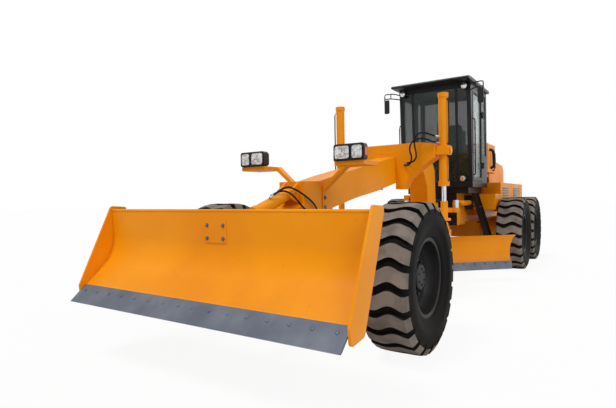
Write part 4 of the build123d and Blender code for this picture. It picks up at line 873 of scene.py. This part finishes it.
# Hexagon bolts where the lamp posts meet the beam, steel pipes down the lift cylinders, and a wedge of
# plate that packs the saddle out to the sloping beam.
post_bolts = [bolt((side * 0.162, back(0.140), z), (side, 0, 0), 0.034, 0.014) for side in (1, -1)
              for z in (1.300, 1.400)]
made_piece("post_bolts", post_bolts, edge_steel, "front_frame", 30.0)
pipes = []
for side in (1, -1):
    for low, high in ((1.590, 1.940), (2.084, 2.700)):
        pipe = ((0.852, 2.180, low), (0.870, 2.172, low + 0.030), (0.872, 2.172, (low + high) / 2),
                (0.870, 2.172, high - 0.040), (0.848, 2.180, high))
        pipes.append(tube(route_on(side, pipe), 0.009, 12))
made_piece("cylinder_pipes", pipes, hose_rubber, "front_frame", 40.0)
BEAM_TOP_FROM, BEAM_TOP_TO = (0.389, 1.642), (3.423, 2.211)
SADDLE_Y = (2.082, 2.318)
SADDLE_HALF = 0.209
slope = (BEAM_TOP_TO[1] - BEAM_TOP_FROM[1]) / (BEAM_TOP_TO[0] - BEAM_TOP_FROM[0])
beam_top = [BEAM_TOP_FROM[1] + (y - BEAM_TOP_FROM[0]) * slope for y in SADDLE_Y]
packing = [(SADDLE_Y[0], beam_top[0] + 0.001), (SADDLE_Y[1], beam_top[1] + 0.001), (SADDLE_Y[0], beam_top[1])]
made_piece("saddle_packing", [run_along("x", placed(packing), -SADDLE_HALF, SADDLE_HALF)], body_paint,
           "front_frame", 30.0)

# Rear end: cooling slats in the hood's back, louvres and latches in the side boxes, tail lamps and the
# tank's cap.
HOOD_BACK, BOX_SIDE = 8.1505, 0.8895
REAR_SLATS, REAR_SLAT_Z, REAR_SLAT_PITCH, REAR_HALF = 13, 1.300, 0.052, 0.400
LOUVRES, LOUVRE_Z, LOUVRE_PITCH = 8, 1.190, 0.048
slats, red_lamps, caps = [], [], []
for number in range(REAR_SLATS):
    z = REAR_SLAT_Z + number * REAR_SLAT_PITCH
    slats.append(run_along("x", placed([(HOOD_BACK, z), (8.1625, z - 0.006), (8.1640, z + 0.004),
                                        (HOOD_BACK, z + 0.026)]), -REAR_HALF, REAR_HALF))
for x in (-0.412, 0.400):
    slats.append(run_along("x", placed(rectangle((8.150, 1.270), (8.164, 1.965))), x, x + 0.012))
for side in (1, -1):
    for y_from, y_to in ((5.720, 6.300), (6.900, 7.700)):
        for number in range(LOUVRES):
            z = LOUVRE_Z + number * LOUVRE_PITCH
            louvre = [(side * BOX_SIDE, z), (side * 0.900, z - 0.004), (side * 0.901, z + 0.004),
                      (side * BOX_SIDE, z + 0.024)]
            slats.append(run_along("y", louvre, back(y_from), back(y_to)))
    latch = soft_corners(placed(rectangle((6.380, 1.240), (6.440, 1.300))), 0.012, 4)
    caps.append(run_along("x", latch, side * BOX_SIDE, side * 0.896))
    tail = aimed(turned([(0.0, 0.0), (0.0, 0.052), (0.012, 0.052), (0.020, 0.044), (0.022, 0.0)], 40),
                 (side * 0.760, back(8.1002), 1.500), (0, 1, 0))
    red_lamps.append(tail)
made_piece("cooling_slats", slats, black_paint, "rear_frame", 30.0)
tank_cap = turned([(0.0, 0.0), (0.0, 0.052), (0.030, 0.052), (0.038, 0.044), (0.040, 0.0)], 40)
caps.append(aimed(tank_cap, (-0.250, back(5.980), 2.4602), (0, 0, 1)))
made_piece("panel_latches_and_cap", caps, moulded_plastic, "rear_frame", 34.0)
tail_red = worked_surface("tail_lamp_red", (0.45, 0.012, 0.008), (0.32, 0.008, 0.006), 0.18, grain=260.0,
                          bump=0.25)
made_piece("tail_lamps", red_lamps, tail_red, "rear_frame", 34.0)

# Bolts along the middle blade's cutting edge, which stands turned about the vertical with its blade.
TURNED = math.radians(43.0)
BOLTS_FROM, BOLTS_TO, BOLTS_ALONG = -1.70, 1.74, 20
along = np.array((math.cos(TURNED), math.sin(TURNED), 0.0))
across = np.array((-along[1], along[0], 0.0))
edge_bolts = [bolt(np.array((0, back(2.750), 0.300)) + along * run + across * 0.0445, -across, 0.022, 0.008)
              for run in np.linspace(BOLTS_FROM, BOLTS_TO, BOLTS_ALONG)]
made_piece("cutting_edge_bolts", edge_bolts, edge_steel, body_under["cutting_edge"], 30.0)

# Intake duct: a black moulded duct with ribs round its bend, and a thinner drain, on the tank's left
# side.
DUCT = ((0.596, 5.960, 2.330), (0.640, 5.968, 2.326), (0.664, 5.990, 2.296), (0.672, 6.020, 2.240),
        (0.672, 6.040, 2.130), (0.668, 6.050, 2.030), (0.640, 6.052, 1.975), (0.596, 6.052, 1.960))
DRAIN = ((0.596, 6.230, 2.280), (0.630, 6.236, 2.274), (0.644, 6.240, 2.230), (0.644, 6.240, 1.960),
         (0.630, 6.240, 1.925), (0.596, 6.240, 1.915))
DUCT_RIBS, RIB_PITCH = 9, 0.022
duct_rib = turned([(-0.005, 0.0), (-0.005, 0.033), (0.0, 0.037), (0.005, 0.033), (0.005, 0.0)], 20)
duct = [tube(route_on(1, DUCT), 0.030, 20)]
for number in range(DUCT_RIBS):
    duct.append(aimed(duct_rib, (0.672, back(6.022 + number * 0.003), 2.236 - number * RIB_PITCH),
                      (0, 0.12, -1)))
duct.append(tube(route_on(1, DRAIN), 0.015, 14))
made_piece("intake_duct", duct, moulded_plastic, "rear_frame", 34.0)

# Seat: dark cloth over foam, a crowned base and a tall back with raised side bolsters and two sewn
# seams, on a rubber bellows over its pedestal.
cloth_weave = worked_surface("seat_weave", (0.020, 0.021, 0.024), (0.034, 0.035, 0.039), 0.9, clouds=20.0,
                             grain=900.0, bump=0.5)
ROWS_OF_PAD, ROUND_PAD = 41, 80
SEAM_X, SEAM_Y, SEAM_WIDE = 0.56, 0.1, 0.030


def bent(wave, power):
    """A sine or cosine to a power, its sign kept: a small power makes a ball boxy."""
    return np.sign(wave) * np.abs(wave) ** power


def cushion(middle, half, upright):
    """A closed pad: a superellipse drawn over a ball's grid, crowned on its used face, seams pressed in."""
    u = np.linspace(-np.pi / 2, np.pi / 2, ROWS_OF_PAD)[:, None]
    v = np.linspace(0, 2 * np.pi, ROUND_PAD, endpoint=False)[None, :]
    x = bent(np.cos(u), 0.30) * bent(np.cos(v), 0.24)
    y = bent(np.cos(u), 0.30) * bent(np.sin(v), 0.24)
    z = bent(np.sin(u), 0.62) + 0 * v
    bolster = 0.20 * np.clip((np.abs(x) - 0.55) / 0.3, 0, 1) - 0.06
    seam = 0.22 * np.exp(-((np.abs(x) - SEAM_X) / SEAM_WIDE) ** 2)
    seam = seam + 0.10 * np.exp(-((y - SEAM_Y) / SEAM_WIDE) ** 2) * (np.abs(x) < SEAM_X)
    z = np.where(z > 0.2, z * (0.80 + bolster) - seam * z, z)
    points = np.stack([x * half[0], y * half[1], z * half[2]], -1).reshape(-1, 3)
    if upright:
        points = points[:, (0, 2, 1)] * (1, -1, 1)
    count = ROWS_OF_PAD * ROUND_PAD
    poles = [list(range(ROUND_PAD)), list(range(count - 1, count - ROUND_PAD - 1, -1))]
    return points + np.array(middle), grid_faces(ROWS_OF_PAD, ROUND_PAD, False, True).tolist() + poles


base_pad = made_piece("seat_base", [cushion((0, back(5.045), 2.070), (0.248, 0.245, 0.060), False)],
                      cloth_weave, "rear_frame", 60.0)
back_pad = made_piece("seat_back", [cushion((0, back(5.260), 2.465), (0.238, 0.333, 0.058), True)], cloth_weave,
                      "rear_frame", 60.0)
FOLDS, FOLD_PITCH, FOLD_OUT, FOLD_IN = 20, 0.0215, 0.158, 0.128
folds = [(0.004 + n * FOLD_PITCH, FOLD_OUT if n % 2 else FOLD_IN) for n in range(FOLDS)]
bellows = turned([(0.0, 0.0), (0.0, FOLD_OUT)] + folds + [(0.432, 0.140), (0.432, 0.0)], 48)
pedestal = made_piece("seat_pedestal", [aimed(bellows, (0, back(5.050), 1.5755), (0, 0, 1))], moulded_plastic,
                      "rear_frame", 20.0)
for piece in (base_pad, back_pad, pedestal):
    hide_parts("seat")
